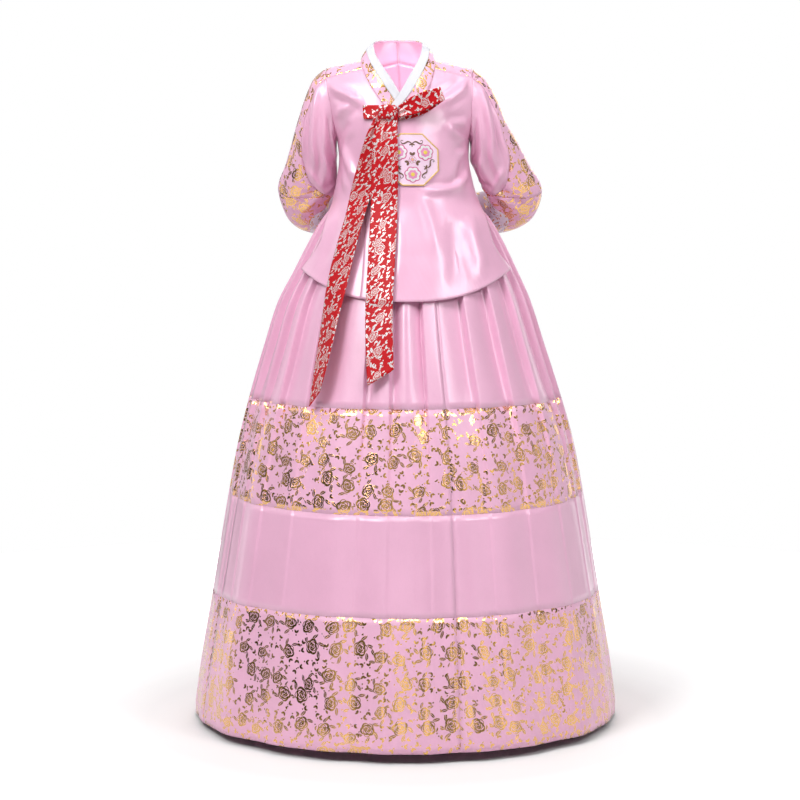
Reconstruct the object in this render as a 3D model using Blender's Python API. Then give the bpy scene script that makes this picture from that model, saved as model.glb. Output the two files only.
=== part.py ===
"""Korean hanbok: a long curved jacket with side slits over a high, pleated, foil-banded skirt.

Metres, +Z up. The front faces -Y and the wearer's left is +X. The origin is at the base of the
neck, on the shoulder line, where the wearer's shoulders hold the set up.
"""
import math

import bmesh
import bpy
from mathutils import Vector

# Driving dimensions
CLOTH = 0.0016            # wall of one lined cloth
CRISP = 0.0012            # wall of the stiff white collar strip
SEAM = 0.0003             # gap between two pieces at a seam
LIE = CLOTH + 0.0005      # height of a piece's outer face over the panel it lies on
OVER_RISE = CLOTH + 0.0017    # the over front lies this much further out than the under front
ON_SKIRT = CLOTH + 0.0014     # the jacket's outer face over the skirt that it lies on
UNDER_TUCK = 0.0004       # the under collar's end lies this much flatter beneath the over one
COLLAR_CROWN = 0.0035     # the collar band is rounded across its width

# Fold of each knife pleat, in degrees from the middle of the front to the wearer's left and
# right; the first one is shared, and they are uneven as on the real skirt
PLEATS_LEFT = (0.0, 8.0, 27.0, 42.0, 57.0, 71.0, 82.0, 97.0, 112.0, 128.0, 144.0, 161.0, 180.0)
PLEATS_RIGHT = (0.0, 6.0, 15.5, 38.0, 52.0, 63.0, 76.0, 92.0, 108.0, 125.0, 142.0, 160.0, 180.0)
RISER = 1.6               # degrees that a pleat takes to come up to its fold
STEPS_PER_PLEAT = 4
HALF_ROUND = STEPS_PER_PLEAT * (len(PLEATS_LEFT) - 1)
COLUMNS = 2 * HALF_ROUND
SOFT_WAVES = 12           # soft upright waves below the pleated tier

SHOULDER_TOP = -0.014     # armhole ring: its top, foot and half depth
ARMPIT = -0.160
ARMHOLE_DEPTH = 0.052
ARMHOLE_X = 0.147
ARMHOLE_TILT = 0.008
SHOULDER_DEPTH = 0.080    # half depth of the shoulder beside the neck
SHOULDER_RISE = 0.035     # how much higher the shoulder line would be at the middle
STRIP_ANGLE = 44.0        # half width of the foil strip over the shoulder, in degrees
SLIT_TOP = -0.270
HEM_FRONT = -0.491        # lowest point of the jacket's curved hem
HEM_RISE = 0.063
HEM_CORNER = 0.220

# Skirt sections: height, half width, depth to the front, depth to the back
SKIRT = (
    (-0.150, 0.1180, 0.096, 0.096),
    (-0.205, 0.1190, 0.098, 0.098),
    (-0.250, 0.1270, 0.106, 0.106),
    (-0.285, 0.1450, 0.120, 0.121),
    (-0.330, 0.1800, 0.146, 0.150),
    (-0.380, 0.2090, 0.172, 0.180),
    (-0.435, 0.2365, 0.197, 0.207),
    (-0.498, 0.2675, 0.222, 0.236),
    (-0.583, 0.2955, 0.252, 0.268),
    (-0.710, 0.3350, 0.293, 0.312),
    (-0.796, 0.3574, 0.318, 0.337),
    (-0.925, 0.3818, 0.349, 0.366),
    (-1.054, 0.4030, 0.376, 0.392),
    (-1.141, 0.4178, 0.393, 0.408),
    (-1.272, 0.4400, 0.415, 0.430),
    (-1.390, 0.4560, 0.432, 0.445),
)

# Depth of the knife pleats and of the soft waves: height, pleat, wave
FOLDS = (
    (-0.205, 0.0030, 0.000),
    (-0.285, 0.0050, 0.000),
    (-0.400, 0.0085, 0.002),
    (-0.560, 0.0115, 0.003),
    (-0.660, 0.0090, 0.004),
    (-0.706, 0.0045, 0.004),
    (-0.780, 0.0015, 0.005),
    (-0.890, 0.0000, 0.006),
    (-1.120, 0.0000, 0.006),
    (-1.390, 0.0000, 0.008),
)

# One knife pleat from its fold to the riser of the next: how far along each step, and how far
# it is sunk there (0 is the fold's edge)
PLEAT = ((0.00, 0.00), (0.35, 0.22), (0.70, 0.60), (1.00, 1.00))

# Skirt tiers: name, height of the upper seam at the side and at the front, the same of the
# lower seam, rows of facets
TIERS = (
    ("skirt_pleated", -0.2052, -0.2052, -0.7018, -0.7018, 7),
    ("skirt_foil_band", -0.7021, -0.7021, -0.8970, -0.9080, 2),
    ("skirt_plain", -0.8973, -0.9083, -1.1170, -1.1060, 2),
    ("skirt_hem_band", -1.1173, -1.1063, -1.3860, -1.3680, 2),
)
# Upright seams of the tiers, as columns from the middle of the front
GORES = (
    ("front_right", -22, 5),
    ("front_left", 5, 30),
    ("back_left", 30, 51),
    ("back_right", 51, 74),
)

# Jacket sections: height, half width, depth to the front, depth to the back
JACKET = (
    (-0.034, 0.1528, 0.055, 0.057),
    (-0.060, 0.1500, 0.077, 0.078),
    (-0.100, 0.1456, 0.100, 0.098),
    (-0.160, 0.1390, 0.119, 0.110),
    (-0.200, 0.1362, 0.126, 0.113),
    (-0.245, 0.1431, 0.131, 0.120),
    (-0.285, 0.1540, 0.139, 0.134),
    (-0.330, 0.1880, 0.156, 0.160),
    (-0.380, 0.2130, 0.177, 0.186),
    (-0.435, 0.2365, 0.197, 0.207),
    (-0.500, 0.2675, 0.222, 0.236),
)
# Free edge of the panels beside the slits: height, angle from the middle of the front
SLIT_EDGE = (
    (-0.270, 90.0),
    (-0.292, 78.0),
    (-0.335, 63.0),
    (-0.380, 59.0),
    (-0.430, 61.5),
    (-0.491, 67.2),
)
JACKET_ROWS = (
    -0.491, -0.430, -0.380, -0.335, -0.292, -0.270, -0.245, -0.200, -0.160, -0.130, -0.115, -0.105,
    -0.095, -0.085, -0.060, -0.0343,
)
# Inner edges of the two fronts: height, x of the under front, x of the over front
FRONT_EDGES = (
    (-0.034, -0.060, 0.060),
    (-0.060, -0.048, 0.048),
    (-0.085, -0.030, 0.030),
    (-0.105, -0.008, -0.020),
    (-0.130, 0.002, -0.062),
    (-0.200, 0.000, -0.074),
    (-0.350, -0.014, -0.084),
    (-0.491, -0.034, -0.092),
)
# The wearer's slight lean: height, shift to +X
LEAN = (
    (0.060, -0.0145),
    (0.030, -0.0140),
    (-0.060, -0.009),
    (-0.180, -0.002),
    (-0.250, 0.000),
    (-0.330, 0.004),
    (-0.430, 0.003),
    (-0.520, 0.000),
    (-0.800, 0.003),
    (-1.400, 0.002),
)

# Sleeve sections from the armhole to the cuff's end, for the wearer's left arm:
# outer point x, y, z; inner point x, y, z; half thickness; half width of the foil in degrees; lean
SLEEVE = (
    (0.155, 0.000, -0.014, 0.139, 0.000, -0.160, 0.052, 44.0, 0.000),
    (0.180, 0.000, -0.036, 0.1400, 0.003, -0.174, 0.053, 45.0, 0.000),
    (0.2015, 0.002, -0.078, 0.1400, 0.006, -0.190, 0.054, 47.0, 0.000),
    (0.217, 0.008, -0.120, 0.1410, 0.011, -0.206, 0.054, 54.0, -0.001),
    (0.236, 0.016, -0.162, 0.1440, 0.018, -0.222, 0.053, 64.0, 0.003),
    (0.257, 0.026, -0.212, 0.1480, 0.028, -0.240, 0.051, 84.0, 0.007),
    (0.280, 0.040, -0.266, 0.1540, 0.042, -0.255, 0.048, 126.0, 0.011),
    (0.264, 0.070, -0.322, 0.1720, 0.062, -0.263, 0.044, 180.0, 0.008),
    (0.226, 0.098, -0.352, 0.1840, 0.088, -0.266, 0.038, 180.0, 0.002),
    (0.190, 0.126, -0.360, 0.1640, 0.116, -0.270, 0.034, 180.0, -0.001),
    (0.150, 0.156, -0.360, 0.1280, 0.150, -0.272, 0.032, 180.0, -0.002),
    (0.110, 0.180, -0.358, 0.0940, 0.174, -0.274, 0.030, 180.0, 0.000),
)
ELBOW, CUFF_SEAM, CUFF_END = 6.0, 6.98, 9.6
CUFF_SLANT = 1.4          # how much further along the cuff's seam is on the outer side of the arm
CUFF_GAP = 0.012          # half the gap at the cuff's seam, as part of a sleeve station
ELBOW_GAP = 0.020         # half the gap at the elbow seam, as part of a sleeve station

# Collar on the over front, from the middle of the back to its end at the knot:
# outer edge x, z, and 1 for front or -1 for back; inner edge x, y, z
COLLAR = (
    (0.000, -0.010, -1, 0.000, 0.055, 0.048),
    (0.042, -0.016, -1, 0.031, 0.047, 0.047),
    (0.066, -0.004, -1, 0.0465, 0.025, 0.043),
    (0.0775, 0.0030, 1, 0.0510, 0.000, 0.036),
    (0.0755, -0.0100, 1, 0.0475, -0.028, 0.016),
    (0.068, -0.035, 1, 0.034, -0.060, -0.012),
    (0.056, -0.062, 1, 0.018, -0.080, -0.038),
    (0.038, -0.088, 1, 0.001, -0.095, -0.066),
    (0.010, -0.116, 1, -0.022, -0.106, -0.098),
)
# The collar on the under front ends where it goes under the other one
COLLAR_UNDER_END = ((-0.0430, -0.082, -0.0088, -0.0550), (-0.0290, -0.1010, 0.0020, -0.0750))
WHITE_STRIP_FROM = 0.58   # part of the collar's width where the white strip begins

# Ribbon: height, x of its middle, half width, turn out of the panel in degrees, standing off
TAIL_LEFT = (
    (-0.1247, -0.040, 0.0200, -6.0, 0.0100),
    (-0.1600, -0.053, 0.0260, -14.0, 0.0110),
    (-0.2200, -0.073, 0.0280, -30.0, 0.0110),
    (-0.3300, -0.108, 0.0280, -46.0, 0.0170),
    (-0.4300, -0.135, 0.0280, -42.0, 0.0160),
    (-0.5400, -0.156, 0.0280, -55.0, 0.0200),
    (-0.6200, -0.171, 0.0260, -62.0, 0.0220),
    (-0.7000, -0.187, 0.0160, -66.0, 0.0180),
)
TAIL_RIGHT = (
    (-0.1243, -0.030, 0.0200, 0.0, 0.0185),
    (-0.1600, -0.037, 0.0250, -2.0, 0.0180),
    (-0.2300, -0.040, 0.0278, -4.0, 0.0180),
    (-0.3300, -0.047, 0.0278, -8.0, 0.0140),
    (-0.4900, -0.052, 0.0278, -10.0, 0.0130),
    (-0.6000, -0.051, 0.0278, -6.0, 0.0150),
    (-0.6550, -0.049, 0.0278, -9.0, 0.0150),
)
TAIL_WALL = 0.0018
TAIL_CUT = 0.032          # how much higher one corner of a tail's slanted end is
KNOT_AT = (-0.028, -0.108)
KNOT_SIZE = (0.021, 0.013, 0.0165)
KNOT_OUT = 0.0190
LOOP_REACH = 0.097
LOOP_DEPTH = 0.016
LOOP_WIDTH = 0.034
LOOP_RISE = 0.41          # the loop points up to the wearer's left, by this slope
LOOP_DROP = 0.006         # how much lower the loop's back layer hangs
LOOP_ENDS = 24.0          # the loop's two ends go into the knot this far round its turn
STUB = (-0.078, -0.0525, -0.122, -0.094)   # x from, x to, z from, z to

BADGE_AT = (0.0165, -0.2054)
BADGE_HALF = 0.0535
BADGE_SIDES = 8


def blend(rows, place, column):
    """A smooth value between the rows of a table whose first column is the place."""
    if rows[0][0] > rows[-1][0]:
        rows = rows[::-1]
    if place <= rows[0][0]:
        return rows[0][column]
    if place >= rows[-1][0]:
        return rows[-1][column]
    index = 0
    while rows[index + 1][0] < place:
        index += 1

    def slope(i):
        if i == 0 or i == len(rows) - 1:
            j = min(i, len(rows) - 2)
            return (rows[j + 1][column] - rows[j][column]) / (rows[j + 1][0] - rows[j][0])
        before = (rows[i][column] - rows[i - 1][column]) / (rows[i][0] - rows[i - 1][0])
        after = (rows[i + 1][column] - rows[i][column]) / (rows[i + 1][0] - rows[i][0])
        if before * after <= 0:
            return 0.0
        return 2 * before * after / (before + after)

    low, high = rows[index], rows[index + 1]
    step = high[0] - low[0]
    t = (place - low[0]) / step
    return (low[column] * (1 + 2 * t) * (1 - t) ** 2 + high[column] * t * t * (3 - 2 * t)
            + slope(index) * step * t * (1 - t) ** 2 - slope(index + 1) * step * t * t * (1 - t))


def ease(value):
    value = min(max(value, 0.0), 1.0)
    return value * value * (3 - 2 * value)


def lean(z):
    return blend(LEAN, z, 1)


def pleat_at(column):
    """Angle in degrees and how far the pleat is sunk there; the folds open outwards."""
    around = (column + HALF_ROUND) % COLUMNS - HALF_ROUND
    folds = PLEATS_LEFT if around >= 0 else PLEATS_RIGHT
    place = min(abs(around) / STEPS_PER_PLEAT, len(folds) - 1.001)
    pleat, part = int(place), place - int(place)
    first, last = folds[pleat], folds[pleat + 1]
    step = part * STEPS_PER_PLEAT
    index = min(int(step), STEPS_PER_PLEAT - 1)
    rows = [(first + (last - RISER - first) * along, sunk) for along, sunk in PLEAT] + [(last, 0.0)]
    (low, sunk_low), (high, sunk_high) = rows[index], rows[index + 1]
    angle = low + (high - low) * (step - index)
    return math.copysign(angle, around), sunk_low + (sunk_high - sunk_low) * (step - index)


def skirt_point(column, z, shift=0.0):
    """A point of the skirt's outer face, shifted round it by a distance at a seam.

    Columns run round from the middle of the front.
    """
    degrees, sink = pleat_at(column)
    wide = blend(SKIRT, z, 1)
    angle = math.radians(degrees) + shift / wide
    deep = blend(SKIRT, z, 2 if math.cos(angle) > 0 else 3)
    normal = Vector((math.sin(angle) / wide, -math.cos(angle) / deep, 0)).normalized()
    sunk = blend(FOLDS, z, 1) * sink
    wave = 0.5 - 0.5 * math.cos(angle * SOFT_WAVES + 0.9 * math.sin(2 * angle))
    sunk += blend(FOLDS, z, 2) * wave
    ring = Vector((lean(z) + wide * math.sin(angle), -deep * math.cos(angle), z))
    return ring - normal * sunk


def seam_height(column, side, front):
    facing = max(math.cos(math.radians(pleat_at(column)[0])), 0.0)
    return side + (front - side) * math.sqrt(facing)


def shoulder_factor(zeta):
    """Part of the full depth that the rounded shoulder has at a height."""
    middle, half = (SHOULDER_TOP + ARMPIT) / 2, (SHOULDER_TOP - ARMPIT) / 2
    return math.sqrt(max(1 - ((zeta - middle) / half) ** 2, 0.0))


def jacket_half_width(zeta):
    if zeta < ARMPIT:
        return max(blend(JACKET, zeta, 1), blend(SKIRT, zeta, 1) + ON_SKIRT)
    middle, half = (SHOULDER_TOP + ARMPIT) / 2, (SHOULDER_TOP - ARMPIT) / 2
    return ARMHOLE_X + ARMHOLE_TILT * (zeta - middle) / half


def jacket_lift(x, zeta):
    """The shoulder line rises to the neck, and the hem rises to its corners."""
    rise = SHOULDER_RISE * (1 - min(abs(x) / 0.155, 1.0)) * ease((zeta + 0.140) / 0.106)
    hem = HEM_RISE * (abs(x) / HEM_CORNER) ** 2.6 * ease((-0.330 - zeta) / 0.161)
    return rise + hem


def jacket_point(x, zeta, side, out=0.0):
    """A point of the jacket's outer face at x; side is 1 for the front and -1 for the back."""
    z = zeta + jacket_lift(x, zeta)
    section = zeta if zeta > SLIT_TOP else z
    wide = jacket_half_width(section)
    arm = ARMHOLE_DEPTH * shoulder_factor(section) if section > ARMPIT else 0.0
    if section > JACKET[0][0]:
        body = SHOULDER_DEPTH * shoulder_factor(section)
    else:
        column = 2 if side > 0 else 3
        body = blend(JACKET, section, column)
        if section < ARMPIT:
            body = max(body, blend(SKIRT, section, column) + ON_SKIRT)
    part = min(abs(x) / wide, 1.0)
    deep = math.sqrt(max(arm ** 2 + (body ** 2 - arm ** 2) * (1 - part ** 2), 0.0))
    point = Vector((x + lean(z), -side * deep, z))
    if out:
        step = 0.004
        across = jacket_point(x + step, zeta, side) - jacket_point(x - step, zeta, side)
        along = jacket_point(x, zeta + step, side) - jacket_point(x, zeta - step, side)
        normal = across.cross(along).normalized()
        if normal.y * side > 0:
            normal = -normal
        point += normal * out
    return point


def over_rise(angle):
    """How far the over front lies above the under front, at an angle from the middle."""
    flat_from, lifted_to = 26.0, 8.0    # degrees
    return OVER_RISE * ease((flat_from - angle) / (flat_from - lifted_to))


def jacket_ring(angle, zeta, side, out=0.0):
    """The same face by the angle from the middle of the front or back, in degrees."""
    z = zeta
    for _ in range(8):
        x = jacket_half_width(z if zeta <= SLIT_TOP else zeta) * math.sin(math.radians(angle))
        z = zeta + jacket_lift(x, zeta)
    return jacket_point(x, zeta, side, out)


def zeta_at(x, z):
    zeta = z
    for _ in range(20):
        zeta = z - jacket_lift(x, zeta)
    return zeta


def on_jacket(x, z, side, out):
    return jacket_point(x, min(zeta_at(x, z), SHOULDER_TOP - 0.0005), side, out)


def sleeve_point(station, angle, side):
    """A point of the sleeve; angle 0 is its outer line, 90 its front, 180 its inner line."""
    rows = [(float(i),) + row for i, row in enumerate(SLEEVE)]

    def read(place, columns):
        return Vector([blend(rows, place, c) for c in columns])

    def middle(place):
        return (read(place, (1, 2, 3)) + read(place, (4, 5, 6))) / 2

    station = min(max(station, 0.0), CUFF_END)
    before, after = max(station - 0.5, 0.0), min(station + 0.5, CUFF_END)
    along = middle(after) - middle(before)
    outward = read(station, (1, 2, 3)) - middle(station)
    front = along.cross(outward).normalized() * blend(rows, station, 7)
    if station < 0.5:
        front = Vector((0, -1, 0)) * blend(rows, station, 7)
    turn = math.radians(angle)
    point = middle(station) + outward * math.cos(turn) + front * math.sin(turn)
    point.x = point.x * side + lean(point.z) + blend(rows, station, 9)
    return point


def cuff_seam(angle):
    """The station of the cuff's seam at an angle round the sleeve."""
    return CUFF_SEAM + CUFF_SLANT * max(math.cos(math.radians(angle)), 0.0) ** 1.5


def foil_half(station):
    rows = [(float(i), row[7]) for i, row in enumerate(SLEEVE)]
    return blend(rows, station, 1)


def wall(name, surface, us, vs, material, thickness=CLOTH, closed=False, step=None, flip=False):
    """A cloth wall: an outer face read from surface(u, v) and an inner face under it."""
    du, dv = step or ((us[-1] - us[0]) / len(us) / 2, (vs[-1] - vs[0]) / len(vs) / 2)
    outer, inner = [], []
    for v in vs:
        for u in us:
            across = surface(u + du, v) - surface(u - du, v)
            along = surface(u, v + dv) - surface(u, v - dv)
            normal = across.cross(along).normalized()
            if flip:
                normal = -normal
            point = surface(u, v)
            outer.append(point)
            inner.append(point - normal * thickness)
    return loft(name, outer, inner, len(us), len(vs), material, closed, flip)


def loft(name, outer, inner, width, height, material, closed, flip):
    """Join a grid of outer points and a grid of inner points into one closed wall."""
    faces = []
    count = len(outer)
    spans = width if closed else width - 1
    for row in range(height - 1):
        for column in range(spans):
            a = row * width + column
            b = row * width + (column + 1) % width
            c, d = b + width, a + width
            faces.append((a, b, c, d))
            faces.append((count + a, count + d, count + c, count + b))
    for column in range(spans):
        a, b = column, (column + 1) % width
        faces.append((a, count + a, count + b, b))
        last = (height - 1) * width
        faces.append((last + b, count + last + b, count + last + a, last + a))
    if not closed:
        for row in range(height - 1):
            a, b = row * width, (row + 1) * width
            faces.append((b, count + b, count + a, a))
            a, b = a + width - 1, b + width - 1
            faces.append((a, count + a, count + b, b))
    if flip:
        faces = [face[::-1] for face in faces]
    mesh = bpy.data.meshes.new(name)
    mesh.from_pydata([tuple(p) for p in outer + inner], [], faces)
    mesh.validate()
    return place(name, mesh, material)


def place(name, mesh, material):
    mesh.materials.append(material)
    mesh.shade_smooth()
    mesh.set_sharp_from_angle(angle=math.radians(40))
    piece = bpy.data.objects.new(name, mesh)
    bpy.context.scene.collection.children["korean hanbok"].objects.link(piece)
    return piece


def finish(name, colour, roughness, metallic=0.0, sheen=0.0):
    material = bpy.data.materials.new(name)
    material.use_nodes = True
    shader = material.node_tree.nodes["Principled BSDF"]
    shader.inputs["Base Color"].default_value = (*colour, 1.0)
    shader.inputs["Roughness"].default_value = roughness
    shader.inputs["Metallic"].default_value = metallic
    shader.inputs["Sheen Weight"].default_value = sheen
    return material


def spread(low, high, count):
    return [low + (high - low) * i / (count - 1) for i in range(count)]


def make_skirt(cloths):
    """The chest band, then four tiers of four widths each, sewn side to side."""
    def band(column, z):
        return skirt_point(column, z)

    columns = [c * 2 for c in range(COLUMNS // 2)]
    heights = [TIERS[0][1] + SEAM + 0.0001, SKIRT[0][0]]
    wall("skirt_chest_band", band, columns, heights, cloths["satin"], closed=True, step=(1.0, 0.004))
    for tier, top_side, top_front, low_side, low_front, rows in TIERS:
        cloth = cloths["foil" if "band" in tier else "satin"]
        for gore, first, last in GORES:
            edges = {first: SEAM / 2, last: -SEAM / 2}

            def face(column, part, top=(top_side, top_front), foot=(low_side, low_front), edges=edges):
                low = seam_height(column, *foot)
                height = low + (seam_height(column, *top) - low) * part
                return skirt_point(column, height, edges.get(column, 0.0))

            up = spread(0.0, 1.0, rows + 1)
            wall(f"{tier}_{gore}", face, range(first, last + 1), up, cloth, step=(0.5, 0.02))


def front_face(side_sign, over):
    """One front's outer face: part 0 is its inner edge, part 1 its armhole, side or slit edge."""
    def face(part, zeta):
        wide = jacket_half_width(zeta)
        inner = blend(FRONT_EDGES, zeta, 2 if over else 1) * side_sign
        start = math.degrees(math.asin(max(min(inner / wide, 1.0), -1.0)))
        end = blend(SLIT_EDGE, zeta, 1) if zeta < SLIT_TOP else 90.0
        part = min(max(part, 0.0), 1.0)
        trim = math.degrees(SEAM / 2 / wide)
        angle = start + (end - trim - start) * part
        point = jacket_ring(angle, zeta, 1, over_rise(angle) if over else 0.0)
        if side_sign < 0:
            point.x = 2 * lean(point.z) - point.x
        return point
    return face


def make_fronts(cloths):
    """The over front is the wearer's left one; it laps over the wearer's right one."""
    parts = spread(0.0, 1.0, 15)
    step = (0.04, 0.005)
    satin = cloths["satin"]
    wall("jacket_front_over", front_face(1, True), parts, JACKET_ROWS, satin, step=step)
    wall("jacket_front_under", front_face(-1, False), parts, JACKET_ROWS, satin, step=step,
         flip=True)


def make_back(cloths):
    """Two back halves meet at the centre seam and are slit at the sides like the fronts."""
    for name, sign in (("jacket_back_left", 1), ("jacket_back_right", -1)):
        def face(part, zeta, sign=sign):
            wide = jacket_half_width(zeta)
            end = blend(SLIT_EDGE, zeta, 1) if zeta < SLIT_TOP else 90.0
            trim = math.degrees(SEAM / 2 / wide)
            angle = trim + (end - 2 * trim) * min(part, 1.0)
            point = jacket_ring(angle, zeta, -1)
            if sign < 0:
                point.x = 2 * lean(point.z) - point.x
            return point

        wall(name, face, spread(0.0, 1.0, 11), JACKET_ROWS, cloths["satin"],
             step=(0.04, 0.005), flip=sign > 0)


def make_shoulders_and_sleeves(cloths):
    for hand, sign in (("left", 1), ("right", -1)):
        middle, half = (SHOULDER_TOP + ARMPIT) / 2, (SHOULDER_TOP - ARMPIT) / 2

        def strip(x, angle, sign=sign):
            zeta = middle + half * math.cos(math.radians(angle))
            point = jacket_point(min(x, jacket_half_width(zeta)), zeta, 1 if angle >= 0 else -1)
            if sign < 0:
                point.x = 2 * lean(point.z) - point.x
            return point

        reach = STRIP_ANGLE - 0.5
        across = spread(0.071, 0.1525, 4)
        wall(f"shoulder_strip_{hand}", strip, across, spread(-reach, reach, 7), cloths["foil"],
             step=(0.004, 3.0), flip=sign > 0)

        def forearm(angle, part, sign=sign):
            start, end = ELBOW + ELBOW_GAP, cuff_seam(angle) - CUFF_GAP
            return sleeve_point(start + (end - start) * part, angle, sign)

        def cuff(angle, part, sign=sign):
            start = cuff_seam(angle) + CUFF_GAP
            return sleeve_point(start + (CUFF_END - start) * part, angle, sign)

        def upper(part, station, sign=sign):
            return sleeve_point(station, (foil_half(station) - 0.25) * part, sign)

        def under(part, station, sign=sign):
            edge = foil_half(station) + 0.25
            return sleeve_point(station, edge + (360 - 2 * edge) * part, sign)

        stations = [0.03, 1.0, 2.0, 3.0, 4.0, 5.0, 5.5, ELBOW - ELBOW_GAP]
        wall(f"sleeve_top_{hand}", upper, spread(-1.0, 1.0, 10), stations, cloths["foil"],
             step=(0.05, 0.02), flip=sign < 0)
        wall(f"sleeve_under_{hand}", under, spread(0.0, 1.0, 10), stations, cloths["satin"],
             step=(0.02, 0.02), flip=sign < 0)
        half_foil = foil_half(ELBOW)
        turns = spread(-half_foil, half_foil, 10) + spread(half_foil, 360 - half_foil, 10)[1:-1]
        wall(f"sleeve_forearm_{hand}", forearm, turns, spread(0.0, 1.0, 5), cloths["foil"],
             closed=True, step=(6.0, 0.02), flip=sign < 0)
        wall(f"cuff_{hand}", cuff, turns, spread(0.0, 1.0, 6), cloths["white_foil"],
             closed=True, step=(6.0, 0.02), flip=sign < 0)


def collar_face(under):
    """Collar band: station along it, part 0 is its outer edge and part 1 its inner edge."""
    rows = [(float(i),) + row for i, row in enumerate(COLLAR)]
    ends = [(6.0, COLLAR[6][0], COLLAR[6][1], COLLAR[6][3], COLLAR[6][5])]
    for i, (outer_x, outer_z, inner_x, inner_z) in enumerate(COLLAR_UNDER_END):
        ends.append((7.0 + i, -outer_x, outer_z, -inner_x, inner_z))

    def face(station, part):
        if station < 0:
            point = face(-station, part)
            return Vector((2 * lean(point.z) - point.x, point.y, point.z))
        station = min(station, len(COLLAR) - 1.0)
        outer_x, outer_z, _, inner_x, inner_y, inner_z = [blend(rows, station, c) for c in range(1, 7)]
        side = 1 if station > 2.8 else -1
        if under and station > 6.0:
            outer_x, outer_z, inner_x, inner_z = [blend(ends, station, c) for c in range(1, 5)]
        rise = -UNDER_TUCK * ease(station - 6.2) if under else OVER_RISE * ease((station - 5.0) / 1.5)
        outer = on_jacket(outer_x, outer_z, side, LIE + SEAM + rise)
        inner = Vector((inner_x + lean(inner_z), inner_y, inner_z))
        if station > 4.9:
            inner = on_jacket(inner_x, inner_z, 1, LIE + SEAM + rise)
        point = outer.lerp(inner, part)
        away = Vector((point.x - lean(point.z), point.y, 0.0)).normalized()
        crown = COLLAR_CROWN * (1 - 0.9 * ease(station - 6.2)) if under else COLLAR_CROWN
        point += (away + Vector((0, 0, 0.5))) * crown * 4 * part * (1 - part)
        if under:
            point.x = 2 * lean(point.z) - point.x
        return point
    return face


def raised(surface, height, step, flip):
    """The same face moved out by a height."""
    du, dv = step

    def face(u, v):
        across = surface(u + du, v) - surface(u - du, v)
        along = surface(u, v + dv) - surface(u, v - dv)
        return surface(u, v) + across.cross(along).normalized() * (-height if flip else height)
    return face


def make_collar(cloths):
    """Two collar bands joined at the back of the neck, and the white strip on their inner edge."""
    step = (0.05, 0.02)
    stations = [0.01, 0.5, 1.0, 1.5, 2.0, 2.35, 2.7, 3.0, 3.33, 3.67, 4.0, 4.5, 5.0, 5.5]
    stations += [6.0, 7.0, 8.0]
    parts = [0.0, 0.2, 0.4, WHITE_STRIP_FROM, 0.8, 1.0]
    for side, under in (("over", False), ("under", True)):
        band = collar_face(under)
        wall(f"collar_{side}", band, stations, parts, cloths["foil"], step=step, flip=not under)
        strip = raised(band, CRISP + SEAM, step, not under)
        wall(f"white_strip_{side}", strip, stations, parts[3:], cloths["white"],
             thickness=CRISP, step=step, flip=not under)


def hanging_face(x, z):
    """The foremost face that a ribbon hangs over at a place."""
    if z > HEM_FRONT + 0.004:
        return jacket_point(x, zeta_at(x, z), 1).y
    part = x / blend(SKIRT, z, 1)
    skirt = -blend(SKIRT, z, 2) * math.sqrt(max(1 - part ** 2, 0.0))
    at_hem = jacket_point(x, HEM_FRONT + 0.001, 1).y
    return min(skirt, at_hem)


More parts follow.
